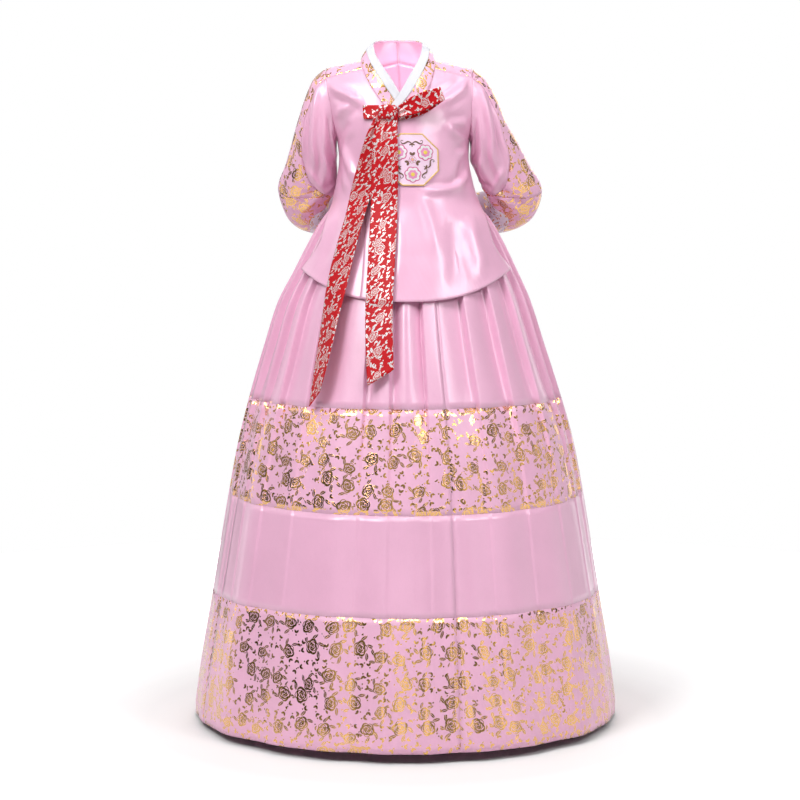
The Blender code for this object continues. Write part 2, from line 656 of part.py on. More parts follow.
def make_ribbon(cloths):
    """The goreum: a stub sewn to the under side, a knot, one flat loop and two hanging tails."""
    red = cloths["red"]
    for name, rows in (("ribbon_tail_left", TAIL_LEFT), ("ribbon_tail_right", TAIL_RIGHT)):
        def tail(part, z, rows=rows):
            z += TAIL_CUT * (part + 1) / 2 * ease((rows[-1][0] + 0.12 - z) / 0.12)
            x, half, turn, off = [blend(rows, z, c) for c in (1, 2, 3, 4)]
            turn = math.radians(turn)
            y = hanging_face(x, z) - off
            across = Vector((math.cos(turn), math.sin(turn), 0)) * (half * part)
            return Vector((x + lean(z), y, z)) + across

        low, high = rows[-1][0], rows[0][0]
        wall(name, tail, spread(-1.0, 1.0, 3), spread(low, high, 15), red,
             thickness=TAIL_WALL, step=(0.1, 0.004))

    knot_y = jacket_point(KNOT_AT[0], zeta_at(*KNOT_AT), 1).y - KNOT_OUT

    def loop(turn, part):
        swing = math.radians(turn)
        along = LOOP_REACH * (0.5 - 0.5 * math.cos(swing))
        grow = 0.72 + 0.28 * ease(along / 0.035) - 0.24 * ease((along - 0.05) / 0.05)
        y = knot_y + 0.002 - 0.5 * LOOP_DEPTH * math.sin(swing)
        start = LOOP_REACH * (0.5 - 0.5 * math.cos(math.radians(LOOP_ENDS)))
        x = KNOT_AT[0] + KNOT_SIZE[0] + SEAM + along - start
        centre = Vector((x, y, KNOT_AT[1] - 0.001 + LOOP_RISE * along))
        centre.x += lean(centre.z)
        centre.z -= LOOP_DROP * ease((turn - 180.0) / 90.0)
        slant = -LOOP_RISE * ease(along / 0.05)
        return centre + Vector((slant * part, 0, part)) * (LOOP_WIDTH / 2 * grow)

    turns = spread(LOOP_ENDS, 360.0 - LOOP_ENDS, 13)
    wall("ribbon_loop", loop, turns, spread(-1.0, 1.0, 3), red,
         thickness=TAIL_WALL, step=(5.0, 0.1))

    def stub(x, z):
        return on_jacket(x, z, 1, OVER_RISE + LIE)

    wall("ribbon_stub", stub, spread(STUB[0], STUB[1], 4), spread(STUB[2], STUB[3], 3), red,
         thickness=TAIL_WALL, step=(0.003, 0.003))

    shape = bmesh.new()
    bmesh.ops.create_uvsphere(shape, u_segments=12, v_segments=8, radius=1.0)
    knot_middle = (KNOT_AT[0] + lean(KNOT_AT[1]), knot_y, KNOT_AT[1])
    for vertex in shape.verts:
        squared = [math.copysign(abs(value) ** 0.8, value) for value in vertex.co]
        vertex.co = Vector([knot_middle[i] + KNOT_SIZE[i] * squared[i] for i in range(3)])
    mesh = bpy.data.meshes.new("ribbon_knot")
    shape.to_mesh(mesh)
    shape.free()
    place("ribbon_knot", mesh, red)


def make_badge(cloths):
    """An eight-sided embroidered patch that lies on the over front."""
    def face(turn, ring):
        corner = math.pi / BADGE_SIDES
        swing = math.radians(turn)
        local = (swing + corner) % (2 * corner) - corner
        radius = BADGE_HALF * ring / math.cos(local)
        x = BADGE_AT[0] + radius * math.cos(swing)
        z = BADGE_AT[1] + radius * math.sin(swing)
        turn_round = math.degrees(math.asin(x / jacket_half_width(z)))
        return on_jacket(x, z, 1, LIE + 3 * SEAM + over_rise(turn_round))

    turns = [i * 22.5 for i in range(16)]
    wall("chest_badge", face, turns, [0.05, 0.33, 0.66, 1.0], cloths["badge"],
         closed=True, step=(4.0, 0.03), flip=True)


def main():
    for piece in list(bpy.data.objects):
        bpy.data.objects.remove(piece)
    collection = bpy.data.collections.new("korean hanbok")
    bpy.context.scene.collection.children.link(collection)
    cloths = {
        "satin": finish("pink satin", (0.86, 0.52, 0.56), 0.35, sheen=0.3),
        "foil": finish("pink satin with gold foil", (0.84, 0.55, 0.46), 0.35, 0.25),
        "white_foil": finish("white satin with gold foil", (0.88, 0.84, 0.74), 0.4, 0.2),
        "white": finish("crisp white cloth", (0.93, 0.92, 0.90), 0.6),
        "red": finish("red ribbon satin", (0.72, 0.05, 0.08), 0.4, sheen=0.2),
        "badge": finish("embroidered badge", (0.90, 0.66, 0.62), 0.6),
    }
    make_skirt(cloths)
    make_fronts(cloths)
    make_back(cloths)
    make_shoulders_and_sleeves(cloths)
    make_collar(cloths)
    make_ribbon(cloths)
    make_badge(cloths)


if __name__ == "__main__":
    main()
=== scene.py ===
"""Looks of the Korean hanbok: satin, foil print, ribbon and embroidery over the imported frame."""
import math

import bmesh
import bpy
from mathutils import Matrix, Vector


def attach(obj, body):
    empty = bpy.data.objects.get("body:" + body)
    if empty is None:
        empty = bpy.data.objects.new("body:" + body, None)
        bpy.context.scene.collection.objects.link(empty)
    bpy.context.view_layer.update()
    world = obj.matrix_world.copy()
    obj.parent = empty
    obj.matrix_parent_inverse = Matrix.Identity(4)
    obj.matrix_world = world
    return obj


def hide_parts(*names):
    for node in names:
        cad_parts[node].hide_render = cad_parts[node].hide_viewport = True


bl_info = {
    "name": "Korean Hanbok Looks",
    "version": (1, 0, 0),
    "blender": (4, 5, 0),
    "location": "View3D > Sidebar > Hanbok",
    "description": "Dresses the hanbok's frame in satin, foil print, ribbon and embroidery",
    "category": "Add Mesh",
}

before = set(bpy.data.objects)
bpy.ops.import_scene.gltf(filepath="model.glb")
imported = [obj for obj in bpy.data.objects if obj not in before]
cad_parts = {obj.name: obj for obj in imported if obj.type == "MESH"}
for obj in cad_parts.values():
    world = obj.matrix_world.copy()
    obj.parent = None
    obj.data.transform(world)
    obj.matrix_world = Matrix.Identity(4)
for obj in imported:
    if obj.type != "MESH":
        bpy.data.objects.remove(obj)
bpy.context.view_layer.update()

# Cut of the set, the same values as in the part's source
CLOTH = 0.0016
CRISP = 0.0012
SEAM = 0.0003
LIE = CLOTH + 0.0005
OVER_RISE = CLOTH + 0.0017
ON_SKIRT = CLOTH + 0.0014
UNDER_TUCK = 0.0004       # the under collar's end lies this much flatter beneath the over one
COLLAR_CROWN = 0.0035
SHOULDER_TOP = -0.014
ARMPIT = -0.160
ARM_MIDDLE = (SHOULDER_TOP + ARMPIT) / 2
ARM_HALF = (SHOULDER_TOP - ARMPIT) / 2
ARMHOLE_DEPTH = 0.052
ARMHOLE_X = 0.147
ARMHOLE_TILT = 0.008
SHOULDER_DEPTH = 0.080
SHOULDER_RISE = 0.035
STRIP_ANGLE = 44.0
SLIT_TOP = -0.270
HEM_FRONT = -0.491
HEM_RISE = 0.063
HEM_CORNER = 0.220
WHITE_STRIP_FROM = 0.58
JACKET_TOP = -0.0343
SHOULDER_SPAN = (0.071, 0.1525)
CHEST_BAND = (-0.2048, -0.1500)
COLLAR_WALL = 0.0013
STRIP_WALL = 0.0010
BADGE_WALL = 0.0012
RIBBON_WALL = 0.00153
WELD = 0.00002            # points closer than this are one
FAR_FROM_SEAM = 0.05      # where a seam's puckers have long ended
CUT_SLACK = 1.02          # the cut is this much longer than the worn form

# Skirt sections: height, half width, depth to the front, depth to the back
SKIRT = (
    (-0.150, 0.1180, 0.096, 0.096),
    (-0.205, 0.1190, 0.098, 0.098),
    (-0.250, 0.1270, 0.106, 0.106),
    (-0.285, 0.1450, 0.120, 0.121),
    (-0.330, 0.1800, 0.146, 0.150),
    (-0.380, 0.2090, 0.172, 0.180),
    (-0.435, 0.2365, 0.197, 0.207),
    (-0.498, 0.2675, 0.222, 0.236),
    (-0.583, 0.2955, 0.252, 0.268),
    (-0.710, 0.3350, 0.293, 0.312),
    (-0.796, 0.3574, 0.318, 0.337),
    (-0.925, 0.3818, 0.349, 0.366),
    (-1.054, 0.4030, 0.376, 0.392),
    (-1.141, 0.4178, 0.393, 0.408),
    (-1.272, 0.4400, 0.415, 0.430),
    (-1.390, 0.4560, 0.432, 0.445),
)
# Height, depth of the knife pleats, depth of the soft waves under them
FOLDS = (
    (-0.205, 0.0030, 0.0000),
    (-0.285, 0.0070, 0.0000),
    (-0.400, 0.0150, 0.0010),
    (-0.560, 0.0190, 0.0020),
    (-0.660, 0.0165, 0.0030),
    (-0.706, 0.0110, 0.0045),
    (-0.780, 0.0062, 0.0060),
    (-0.890, 0.0034, 0.0070),
    (-1.120, 0.0015, 0.0080),
    (-1.390, 0.0000, 0.0090),
)
# Angle of each pleat's fold from the middle of the front, to the wearer's left and right
PLEATS_LEFT = (0.0, 8.0, 27.0, 42.0, 57.0, 71.0, 82.0, 97.0, 112.0, 128.0, 144.0, 161.0, 180.0)
PLEATS_RIGHT = (0.0, 6.0, 15.5, 38.0, 52.0, 63.0, 76.0, 92.0, 108.0, 125.0, 142.0, 160.0, 180.0)
RISER = 1.1               # degrees that a pleat takes to come up to its fold
RISER_POINTS = (-RISER, -0.75 * RISER, -0.5 * RISER, -0.25 * RISER, 0.0, 0.3, 0.8)
PLEAT_CURVE = 1.35        # above 1 a pleat stays near its fold's height for longer
PRINT_TURN = 0.007        # metres of print to a degree round the skirt
# Tiers: top at the sides and in front, foot at the sides and in front, rows of points
TIERS = (
    ("pleated", -0.2052, -0.2052, -0.7018, -0.7018, 34),
    ("foil_band", -0.7021, -0.7021, -0.8970, -0.9080, 14),
    ("plain", -0.8973, -0.9083, -1.1170, -1.1060, 14),
    ("hem_band", -1.1173, -1.1063, -1.3860, -1.3680, 20),
)
# Upright seams of the skirt's widths, in degrees from the middle of the front
GORES = (("front_right", -70.98, 14.09), ("front_left", 14.09, 106.38), ("back_left", 106.38, 193.56),
         ("back_right", 193.56, 289.02))

# Jacket sections: height, half width, depth to the front, depth to the back
JACKET = (
    (-0.034, 0.1528, 0.055, 0.057),
    (-0.060, 0.1500, 0.077, 0.078),
    (-0.100, 0.1456, 0.100, 0.098),
    (-0.160, 0.1390, 0.119, 0.110),
    (-0.200, 0.1362, 0.126, 0.113),
    (-0.245, 0.1431, 0.131, 0.120),
    (-0.285, 0.1540, 0.139, 0.134),
    (-0.330, 0.1880, 0.156, 0.160),
    (-0.380, 0.2130, 0.177, 0.186),
    (-0.435, 0.2365, 0.197, 0.207),
    (-0.500, 0.2675, 0.222, 0.236),
)
# Slit of the jacket: height, angle of the panel's edge from the middle of the front or back
SLIT_EDGE = (
    (-0.270, 90.0),
    (-0.292, 78.0),
    (-0.335, 63.0),
    (-0.380, 59.0),
    (-0.430, 61.5),
    (-0.491, 67.2),
)
# Inner edges of the fronts: height, x of the under front's, x of the over front's
FRONT_EDGES = (
    (-0.034, -0.060, 0.060),
    (-0.060, -0.048, 0.048),
    (-0.085, -0.030, 0.030),
    (-0.105, -0.008, -0.020),
    (-0.130, 0.002, -0.062),
    (-0.200, 0.000, -0.074),
    (-0.350, -0.014, -0.084),
    (-0.491, -0.034, -0.092),
)
# The set's middle line leans a little: height, x
LEAN = (
    (0.060, -0.0145),
    (0.030, -0.0140),
    (-0.060, -0.009),
    (-0.180, -0.002),
    (-0.250, 0.000),
    (-0.330, 0.004),
    (-0.430, 0.003),
    (-0.520, 0.000),
    (-0.800, 0.003),
    (-1.400, 0.002),
)
CREASE_DEPTH = 1.55       # how much deeper the worn jacket's creases are than the table gives
CREASE_PAST = 0.15        # part of its length that a crease runs on past each end
CREASE_BOW = 0.10         # how far a crease bows aside, by its length
TROUGH, TROUGH_AT = 0.42, 1.7    # depth of the trough beside a ridge, and its place in half widths
# Creases of the jacket: x and z of both ends, how far they stand out, half width of the ridge
CREASES_FRONT = (
    (0.130, -0.168, 0.088, -0.134, 0.0060, 0.0070),
    (0.134, -0.126, 0.090, -0.132, 0.0048, 0.0080),
    (0.138, -0.050, 0.082, -0.090, 0.0050, 0.0100),
    (0.136, -0.176, 0.112, -0.196, 0.0040, 0.0080),
    (0.134, -0.226, 0.104, -0.262, 0.0062, 0.0080),
    (0.108, -0.262, 0.040, -0.268, 0.0058, 0.0075),
    (0.126, -0.206, 0.118, -0.248, -0.0040, 0.0100),
    (0.030, -0.280, 0.060, -0.400, 0.0030, 0.0130),
    (-0.152, -0.056, -0.082, -0.086, 0.0062, 0.0080),
    (-0.142, -0.118, -0.090, -0.082, 0.0050, 0.0090),
    (-0.138, -0.160, -0.112, -0.128, -0.0040, 0.0090),
    (-0.128, -0.176, -0.102, -0.250, 0.0062, 0.0090),
    (-0.134, -0.200, -0.120, -0.268, 0.0042, 0.0080),
    (-0.112, -0.300, -0.150, -0.430, 0.0035, 0.0140),
    (0.130, -0.330, 0.156, -0.440, 0.0034, 0.0140),
    (0.092, -0.330, 0.100, -0.460, -0.0026, 0.0160),
    (-0.010, -0.320, -0.014, -0.450, 0.0024, 0.0140),
)
CREASES_BACK = (
    (0.135, -0.140, 0.080, -0.120, 0.0045, 0.0110),
    (-0.135, -0.145, -0.076, -0.126, 0.0050, 0.0110),
    (0.130, -0.215, 0.070, -0.250, 0.0045, 0.0110),
    (-0.131, -0.210, -0.060, -0.262, 0.0040, 0.0120),
    (0.110, -0.260, 0.020, -0.278, 0.0035, 0.0100),
    (-0.105, -0.270, -0.010, -0.282, 0.0030, 0.0100),
    (0.120, -0.330, 0.150, -0.450, 0.0035, 0.0160),
    (-0.110, -0.330, -0.145, -0.455, 0.0035, 0.0160),
    (0.045, -0.320, 0.050, -0.460, 0.0025, 0.0180),
    (-0.040, -0.320, -0.048, -0.462, 0.0028, 0.0180),
)

# Sleeve sections: outer point x, y, z; inner point x, y, z; half thickness; foil's half width; lean
SLEEVE = (
    (0.155, 0.000, -0.014, 0.139, 0.000, -0.160, 0.052, 44.0, 0.000),
    (0.180, 0.000, -0.036, 0.1400, 0.003, -0.174, 0.053, 45.0, 0.000),
    (0.2015, 0.002, -0.078, 0.1400, 0.006, -0.190, 0.054, 47.0, 0.000),
    (0.217, 0.008, -0.120, 0.1410, 0.011, -0.206, 0.054, 54.0, -0.001),
    (0.236, 0.016, -0.162, 0.1440, 0.018, -0.222, 0.053, 64.0, 0.003),
    (0.257, 0.026, -0.212, 0.1480, 0.028, -0.240, 0.051, 84.0, 0.007),
    (0.280, 0.040, -0.266, 0.1540, 0.042, -0.255, 0.048, 126.0, 0.011),
    (0.264, 0.070, -0.322, 0.1720, 0.062, -0.263, 0.044, 180.0, 0.008),
    (0.226, 0.098, -0.352, 0.1840, 0.088, -0.266, 0.038, 180.0, 0.002),
    (0.190, 0.126, -0.360, 0.1640, 0.116, -0.270, 0.034, 180.0, -0.001),
    (0.150, 0.156, -0.360, 0.1280, 0.150, -0.272, 0.032, 180.0, -0.002),
    (0.110, 0.180, -0.358, 0.0940, 0.174, -0.274, 0.030, 180.0, 0.000),
)
ELBOW, CUFF_SEAM, CUFF_END = 6.0, 6.98, 9.6
CUFF_SLANT = 1.4
ELBOW_GAP, CUFF_GAP = 0.002, 0.003
FOIL_SEAM = 0.25          # degrees between the foil's edge and the seam's middle
STATION_LENGTH = 0.04     # metres along the sleeve to a station
DEGREE_LENGTH = 0.00087   # metres round the sleeve to a degree
# Creases of a sleeve: station and angle of both ends, how far they stand out, half width
CREASES_SLEEVE = (
    (0.9, 62.0, 4.4, 108.0, 0.0075, 0.0090),
    (1.0, 104.0, 5.2, 146.0, 0.0060, 0.0090),
    (2.2, 66.0, 5.4, 84.0, -0.0055, 0.0080),
    (0.2, 128.0, 2.6, 172.0, 0.0055, 0.0090),
    (3.0, 128.0, 5.7, 122.0, 0.0060, 0.0070),
    (4.6, 92.0, 5.9, 132.0, 0.0060, 0.0065),
    (3.6, 160.0, 5.6, 150.0, -0.0045, 0.0070),
    (5.2, 168.0, 6.6, 70.0, 0.0055, 0.0075),
    (5.8, 172.0, 7.4, 92.0, 0.0045, 0.0080),
    (6.6, 150.0, 8.6, 60.0, 0.0035, 0.0090),
    (7.6, 130.0, 9.8, 40.0, 0.0030, 0.0090),
    (1.0, 290.0, 5.0, 240.0, 0.0050, 0.0110),
    (2.0, 250.0, 5.6, 205.0, 0.0040, 0.0110),
    (5.4, 195.0, 6.9, 290.0, 0.0045, 0.0080),
    (6.2, 190.0, 8.2, 300.0, 0.0035, 0.0090),
    (7.8, 215.0, 9.8, 310.0, 0.0030, 0.0090),
)

# Collar on the over front: outer edge x, z, front or back; inner edge x, y, z
COLLAR = (
    (0.000, -0.010, -1, 0.000, 0.055, 0.048),
    (0.042, -0.016, -1, 0.031, 0.047, 0.047),
    (0.066, -0.004, -1, 0.0465, 0.025, 0.043),
    (0.0775, 0.0030, 1, 0.0510, 0.000, 0.036),
    (0.0755, -0.0100, 1, 0.0475, -0.028, 0.016),
    (0.068, -0.035, 1, 0.034, -0.060, -0.012),
    (0.056, -0.062, 1, 0.018, -0.080, -0.038),
    (0.038, -0.088, 1, 0.001, -0.095, -0.066),
    (0.010, -0.116, 1, -0.022, -0.106, -0.098),
)
COLLAR_UNDER_END = ((-0.0430, -0.082, -0.0088, -0.0550), (-0.0290, -0.1010, 0.0020, -0.0750))

# Ribbon: height, x of its middle, half width, turn out of the panel in degrees, standing off
TAIL_LEFT = (
    (-0.1247, -0.040, 0.0200, -6.0, 0.0100),
    (-0.1600, -0.053, 0.0260, -14.0, 0.0110),
    (-0.2200, -0.073, 0.0280, -30.0, 0.0110),
    (-0.3300, -0.108, 0.0280, -46.0, 0.0170),
    (-0.4300, -0.135, 0.0280, -42.0, 0.0160),
    (-0.5400, -0.156, 0.0280, -55.0, 0.0200),
    (-0.6200, -0.171, 0.0260, -62.0, 0.0220),
    (-0.7000, -0.187, 0.0160, -66.0, 0.0180),
)
TAIL_RIGHT = (
    (-0.1243, -0.030, 0.0200, 0.0, 0.0185),
    (-0.1600, -0.037, 0.0250, -2.0, 0.0180),
    (-0.2300, -0.040, 0.0278, -4.0, 0.0180),
    (-0.3300, -0.047, 0.0278, -8.0, 0.0140),
    (-0.4900, -0.052, 0.0278, -10.0, 0.0130),
    (-0.6000, -0.051, 0.0278, -6.0, 0.0150),
    (-0.6550, -0.049, 0.0278, -9.0, 0.0150),
)
TAIL_CUT = 0.032
KNOT_AT = (-0.028, -0.108)
KNOT_SIZE = (0.021, 0.013, 0.0165)
KNOT_OUT = 0.0190
LOOP_REACH = 0.097
LOOP_DEPTH = 0.016
LOOP_WIDTH = 0.034
LOOP_RISE = 0.41
LOOP_DROP = 0.006
LOOP_ENDS = 24.0
STUB = (-0.078, -0.0525, -0.122, -0.094)
BADGE_AT = (0.0165, -0.2054)
BADGE_HALF = 0.0535
BADGE_SIDES = 8

# Half of a scroll on the badge: place along it; way aside, way out from the scroll's middle
SCROLL_AT = 0.0330
SCROLL = (
    (0.00, 0.0000, -0.0010),
    (0.12, 0.0036, 0.0022),
    (0.26, 0.0078, 0.0034),
    (0.42, 0.0126, 0.0010),
    (0.56, 0.0168, -0.0008),
    (0.70, 0.0208, 0.0010),
    (0.82, 0.0216, 0.0046),
    (0.92, 0.0190, 0.0062),
    (1.00, 0.0170, 0.0042),
)
# Flowers of the badge: angle, distance from its middle, reach, petals
FLOWERS = ((30.0, 0.0300, 0.0170, 7), (150.0, 0.0300, 0.0170, 7), (270.0, 0.0300, 0.0170, 7),
           (0.0, 0.0, 0.0076, 6))
# Petals of a flower by its reach: thread, start, length, half width; then their dome and its base
PETALS = (
    ("rose", 0.26, 0.74, 0.450, 0.0004, 0.0002),
    ("white", 0.38, 0.50, 0.297, 0.0003, 0.0006),
    ("inner", 0.06, 0.52, 0.225, 0.0003, 0.0009),
)
# Leaves at each pair of scrolls: way out, turn, length, half width
SIDE_LEAVES = ((SCROLL_AT - 0.0010, 2.00, 0.0062, 0.0016), (0.0085, 0.62, 0.0082, 0.0026))
MIDDLE_LEAF = (SCROLL_AT - 0.0075, 0.00, 0.0075, 0.0012)

# Embroidery threads: colour, roughness, metal
THREADS = {
    "gold thread": ((0.80, 0.50, 0.16), 0.34, 0.35),
    "rose thread": ((0.68, 0.13, 0.32), 0.40, 0.0),
    "inner thread": ((0.84, 0.30, 0.56), 0.40, 0.0),
    "white thread": ((0.90, 0.86, 0.88), 0.40, 0.0),
    "yellow thread": ((0.95, 0.72, 0.10), 0.40, 0.0),
    "brown thread": ((0.16, 0.07, 0.035), 0.40, 0.15),
}
# Waves to a metre across and along a cloth
WARP = (2600.0, 90.0, 1.0)
WEFT = (120.0, 2200.0, 1.0)
SOFT_CRINKLE = (30.0, 8.0, 1.0)
FINE_CRINKLE = (95.0, 55.0, 1.0)
PUCKER = (150.0, 12.0, 1.0)
# Rings of a printed rose, in millimetres at size 1: reach, scallops in a half turn, shift, half line
ROSE_RINGS = ((11.6, 2.5, 0.0, 0.95), (8.3, 2.0, 1.1, 0.80), (5.1, 1.5, 2.3, 0.72), (2.2, 1.0, 0.6, 0.85))
ROSE_SPACING = 45.0
ROSE_LEAVES = 6
LEAF_AT = 18.0
SPRIG_SPACING = 16.0
FULL_TURN = 6.2832

# Studio: name, place, width, height and watts of each soft light
LIGHTS = (
    ("key_light", (-2.0, -2.6, 2.2), 1.4, 1.4, 96.0),
    ("fill_light", (2.4, -2.2, 1.7), 1.1, 1.5, 46.0),
    ("top_light", (0.0, -1.3, 2.3), 2.2, 1.0, 46.0),
    ("back_light", (0.6, 3.4, 1.2), 3.0, 2.4, 40.0),
)
LIT_POINT = Vector((0.0, 0.0, -0.15))
NECK_LIGHT_AT = (-0.010, -0.010, -0.060)
FLOOR_Z = -1.3895
FLOOR_RADIUS = 2.4
CAMERA_AT = (-0.0095, -4.65, -0.2561)
CAMERA_DOWN = 5.58        # degrees
CAMERA_LENS = 99.0


def blend(rows, place, column):
    """A smooth value between the rows of a table whose first column is the place."""
    if rows[0][0] > rows[-1][0]:
        rows = rows[::-1]
    if place <= rows[0][0]:
        return rows[0][column]
    if place >= rows[-1][0]:
        return rows[-1][column]
    index = 0
    while rows[index + 1][0] < place:
        index += 1

    def slope(i):
        if i == 0 or i == len(rows) - 1:
            j = min(i, len(rows) - 2)
            return (rows[j + 1][column] - rows[j][column]) / (rows[j + 1][0] - rows[j][0])
        before = (rows[i][column] - rows[i - 1][column]) / (rows[i][0] - rows[i - 1][0])
        after = (rows[i + 1][column] - rows[i][column]) / (rows[i + 1][0] - rows[i][0])
        if before * after <= 0:
            return 0.0
        return 2 * before * after / (before + after)

    low, high = rows[index], rows[index + 1]
    step = high[0] - low[0]
    t = (place - low[0]) / step
    return (low[column] * (1 + 2 * t) * (1 - t) ** 2 + high[column] * t * t * (3 - 2 * t)
            + slope(index) * step * t * (1 - t) ** 2 - slope(index + 1) * step * t * t * (1 - t))


def ease(value):
    value = min(max(value, 0.0), 1.0)
    return value * value * (3 - 2 * value)


def spread(low, high, count):
    return [low + (high - low) * i / (count - 1) for i in range(count)]


def lean(z):
    return blend(LEAN, z, 1)


def mirrored(point):
    """The same point on the other side of the set's middle line."""
    return Vector((2 * lean(point.z) - point.x, point.y, point.z))


def shade(colour, factor):
    """A colour made darker or lighter."""
    return tuple(min(part * factor, 1.0) for part in colour)


def creases(table, u, v):
    """How far the cloth stands out at a place, from a table of soft ridges."""
    height = 0.0
    for u0, v0, u1, v1, rise, half in table:
        du, dv = u1 - u0, v1 - v0
        pu, pv = u - u0, v - v0
        length = math.hypot(du, dv)
        along = (pu * du + pv * dv) / length ** 2
        if not -CREASE_PAST < along < 1 + CREASE_PAST:
            continue
        off = (pu * dv - pv * du) / length + CREASE_BOW * length * (along - along * along)
        if abs(off) < 4 * half:
            fade = ease((along + CREASE_PAST) / 0.35) * ease((1 + CREASE_PAST - along) / 0.45)
            ridge = math.exp(-(off / half) ** 2) - TROUGH * math.exp(-(off / half - TROUGH_AT) ** 2)
            height += rise * ridge * fade
    return height


def pleat_sink(degrees):
    """How far a knife pleat is sunk: 0 on its fold, 1 in the deep behind the next one."""
    degrees = (degrees + 180.0) % 360.0 - 180.0
    folds = PLEATS_LEFT if degrees >= 0 else PLEATS_RIGHT
    away = abs(degrees)
    for low, high in zip(folds, folds[1:]):
        if away <= high:
            if away > high - RISER:
                return 1 - ease((away - high + RISER) / RISER)
            return ((away - low) / (high - RISER - low)) ** PLEAT_CURVE
    return 1.0


def skirt_point(degrees, z, out=0.0, shift=0.0):
    """A point of the skirt's outer face, by the angle from the middle of the front."""
    wide = blend(SKIRT, z, 1)
    angle = math.radians(degrees) + shift / wide
    deep = blend(SKIRT, z, 2 if math.cos(angle) > 0 else 3)
    normal = Vector((math.sin(angle) / wide, -math.cos(angle) / deep, 0)).normalized()
    pleat, wave = blend(FOLDS, z, 1), blend(FOLDS, z, 2)
    ripple = 0.50 - 0.26 * math.cos(12 * angle + 0.9 * math.sin(2 * angle))
    ripple -= 0.24 * math.cos(23 * angle + 1.7 * math.sin(3 * angle) + 2.2 * z)
    sunk = pleat * pleat_sink(degrees) + wave * ripple
    sunk += 0.004 * ease((-1.352 - z) / 0.030)
    ring = Vector((lean(z) + wide * math.sin(angle), -deep * math.cos(angle), z))
    return ring + normal * (out - sunk)


def seam_height(degrees, side, front):
    return side + (front - side) * math.sqrt(max(math.cos(math.radians(degrees)), 0.0))


def shoulder_factor(zeta):
    return math.sqrt(max(1 - ((zeta - ARM_MIDDLE) / ARM_HALF) ** 2, 0.0))


def jacket_half_width(zeta):
    if zeta < ARMPIT:
        return max(blend(JACKET, zeta, 1), blend(SKIRT, zeta, 1) + ON_SKIRT)
    return ARMHOLE_X + ARMHOLE_TILT * (zeta - ARM_MIDDLE) / ARM_HALF


def jacket_lift(x, zeta):
    """The shoulder line rises to the neck, and the hem rises to its corners."""
    rise = SHOULDER_RISE * (1 - min(abs(x) / 0.155, 1.0)) * ease((zeta + 0.140) / 0.106)
    hem = HEM_RISE * (abs(x) / HEM_CORNER) ** 2.6 * ease((-0.330 - zeta) / 0.161)
    return rise + hem


def jacket_base(x, zeta, side):
    """A point of the jacket's smooth form at x; side is 1 for the front and -1 for the back."""
    z = zeta + jacket_lift(x, zeta)
    section = zeta if zeta > SLIT_TOP else z
    wide = jacket_half_width(section)
    arm = ARMHOLE_DEPTH * shoulder_factor(section) if section > ARMPIT else 0.0
    if section > JACKET[0][0]:
        body = SHOULDER_DEPTH * shoulder_factor(section)
    else:
        column = 2 if side > 0 else 3
        body = blend(JACKET, section, column)
        if section < ARMPIT:
            body = max(body, blend(SKIRT, section, column) + ON_SKIRT)
    part = min(abs(x) / wide, 1.0)
    deep = math.sqrt(max(arm ** 2 + (body ** 2 - arm ** 2) * (1 - part ** 2), 0.0))
    return Vector((x + lean(z), -side * deep, z))


def jacket_point(x, zeta, side, out=0.0, hand=1):
    """The same with the creases; hand is -1 where x is mirrored by the caller."""
    point = jacket_base(x, zeta, side)
    z = point.z
    edge = ease((jacket_half_width(min(z, zeta)) - abs(x)) / 0.020)
    out += CREASE_DEPTH * creases(CREASES_FRONT if side > 0 else CREASES_BACK, x * hand, z) * edge
    if out:
        step = 0.004
        across = jacket_base(x + step, zeta, side) - jacket_base(x - step, zeta, side)
        along = jacket_base(x, zeta + step, side) - jacket_base(x, zeta - step, side)
        normal = across.cross(along).normalized()
        if normal.y * side > 0:
            normal = -normal
        point += normal * out
    return point


def over_rise(angle):
    """How far the over front lies above the under front, at an angle from the middle."""
    flat_from, lifted_to = 26.0, 8.0
    return OVER_RISE * ease((flat_from - angle) / (flat_from - lifted_to))


def jacket_ring(angle, zeta, side, out=0.0, hand=1):
    """The same face by the angle from the middle of the front or back, in degrees."""
    z = zeta
    for _ in range(6):
        x = jacket_half_width(z if zeta <= SLIT_TOP else zeta) * math.sin(math.radians(angle))
        z = zeta + jacket_lift(x, zeta)
    return jacket_point(x, zeta, side, out, hand)


def zeta_at(x, z):
    zeta = z
    for _ in range(12):
        zeta = z - jacket_lift(x, zeta)
    return zeta


def on_jacket(x, z, side, out, hand=1):
    return jacket_point(x, min(zeta_at(x, z), SHOULDER_TOP - 0.0005), side, out, hand)


def sleeve_point(station, angle, side, out=0.0):
    """A point of the sleeve; angle 0 is its outer line, 90 its front, 180 its inner line."""
    station = min(max(station, 0.0), CUFF_END)

    def read(place, columns):
        return Vector([blend(SLEEVE_ROWS, place, c) for c in columns])

    def middle(place):
        return (read(place, (1, 2, 3)) + read(place, (4, 5, 6))) / 2

    before, after = max(station - 0.5, 0.0), min(station + 0.5, CUFF_END)
    along = middle(after) - middle(before)
    here = middle(station)
    outward = read(station, (1, 2, 3)) - here
    half = blend(SLEEVE_ROWS, station, 7)
    front = along.cross(outward).normalized() * half
    if station < 0.5:
        front = Vector((0, -1, 0)) * half
    turn = math.radians(angle)
    radial = outward * math.cos(turn) + front * math.sin(turn)
    shift = 6.0 if side < 0 else 0.0
    rise = creases(SLEEVE_RIDGES, station * STATION_LENGTH, ((angle + shift) % 360.0) * DEGREE_LENGTH)
    rise *= ease(station / 0.6) * ease((CUFF_END - station) / 0.8)
    point = here + radial + radial.normalized() * (out + rise)
    point.x = point.x * side + lean(point.z) + blend(SLEEVE_ROWS, station, 9)
    return point


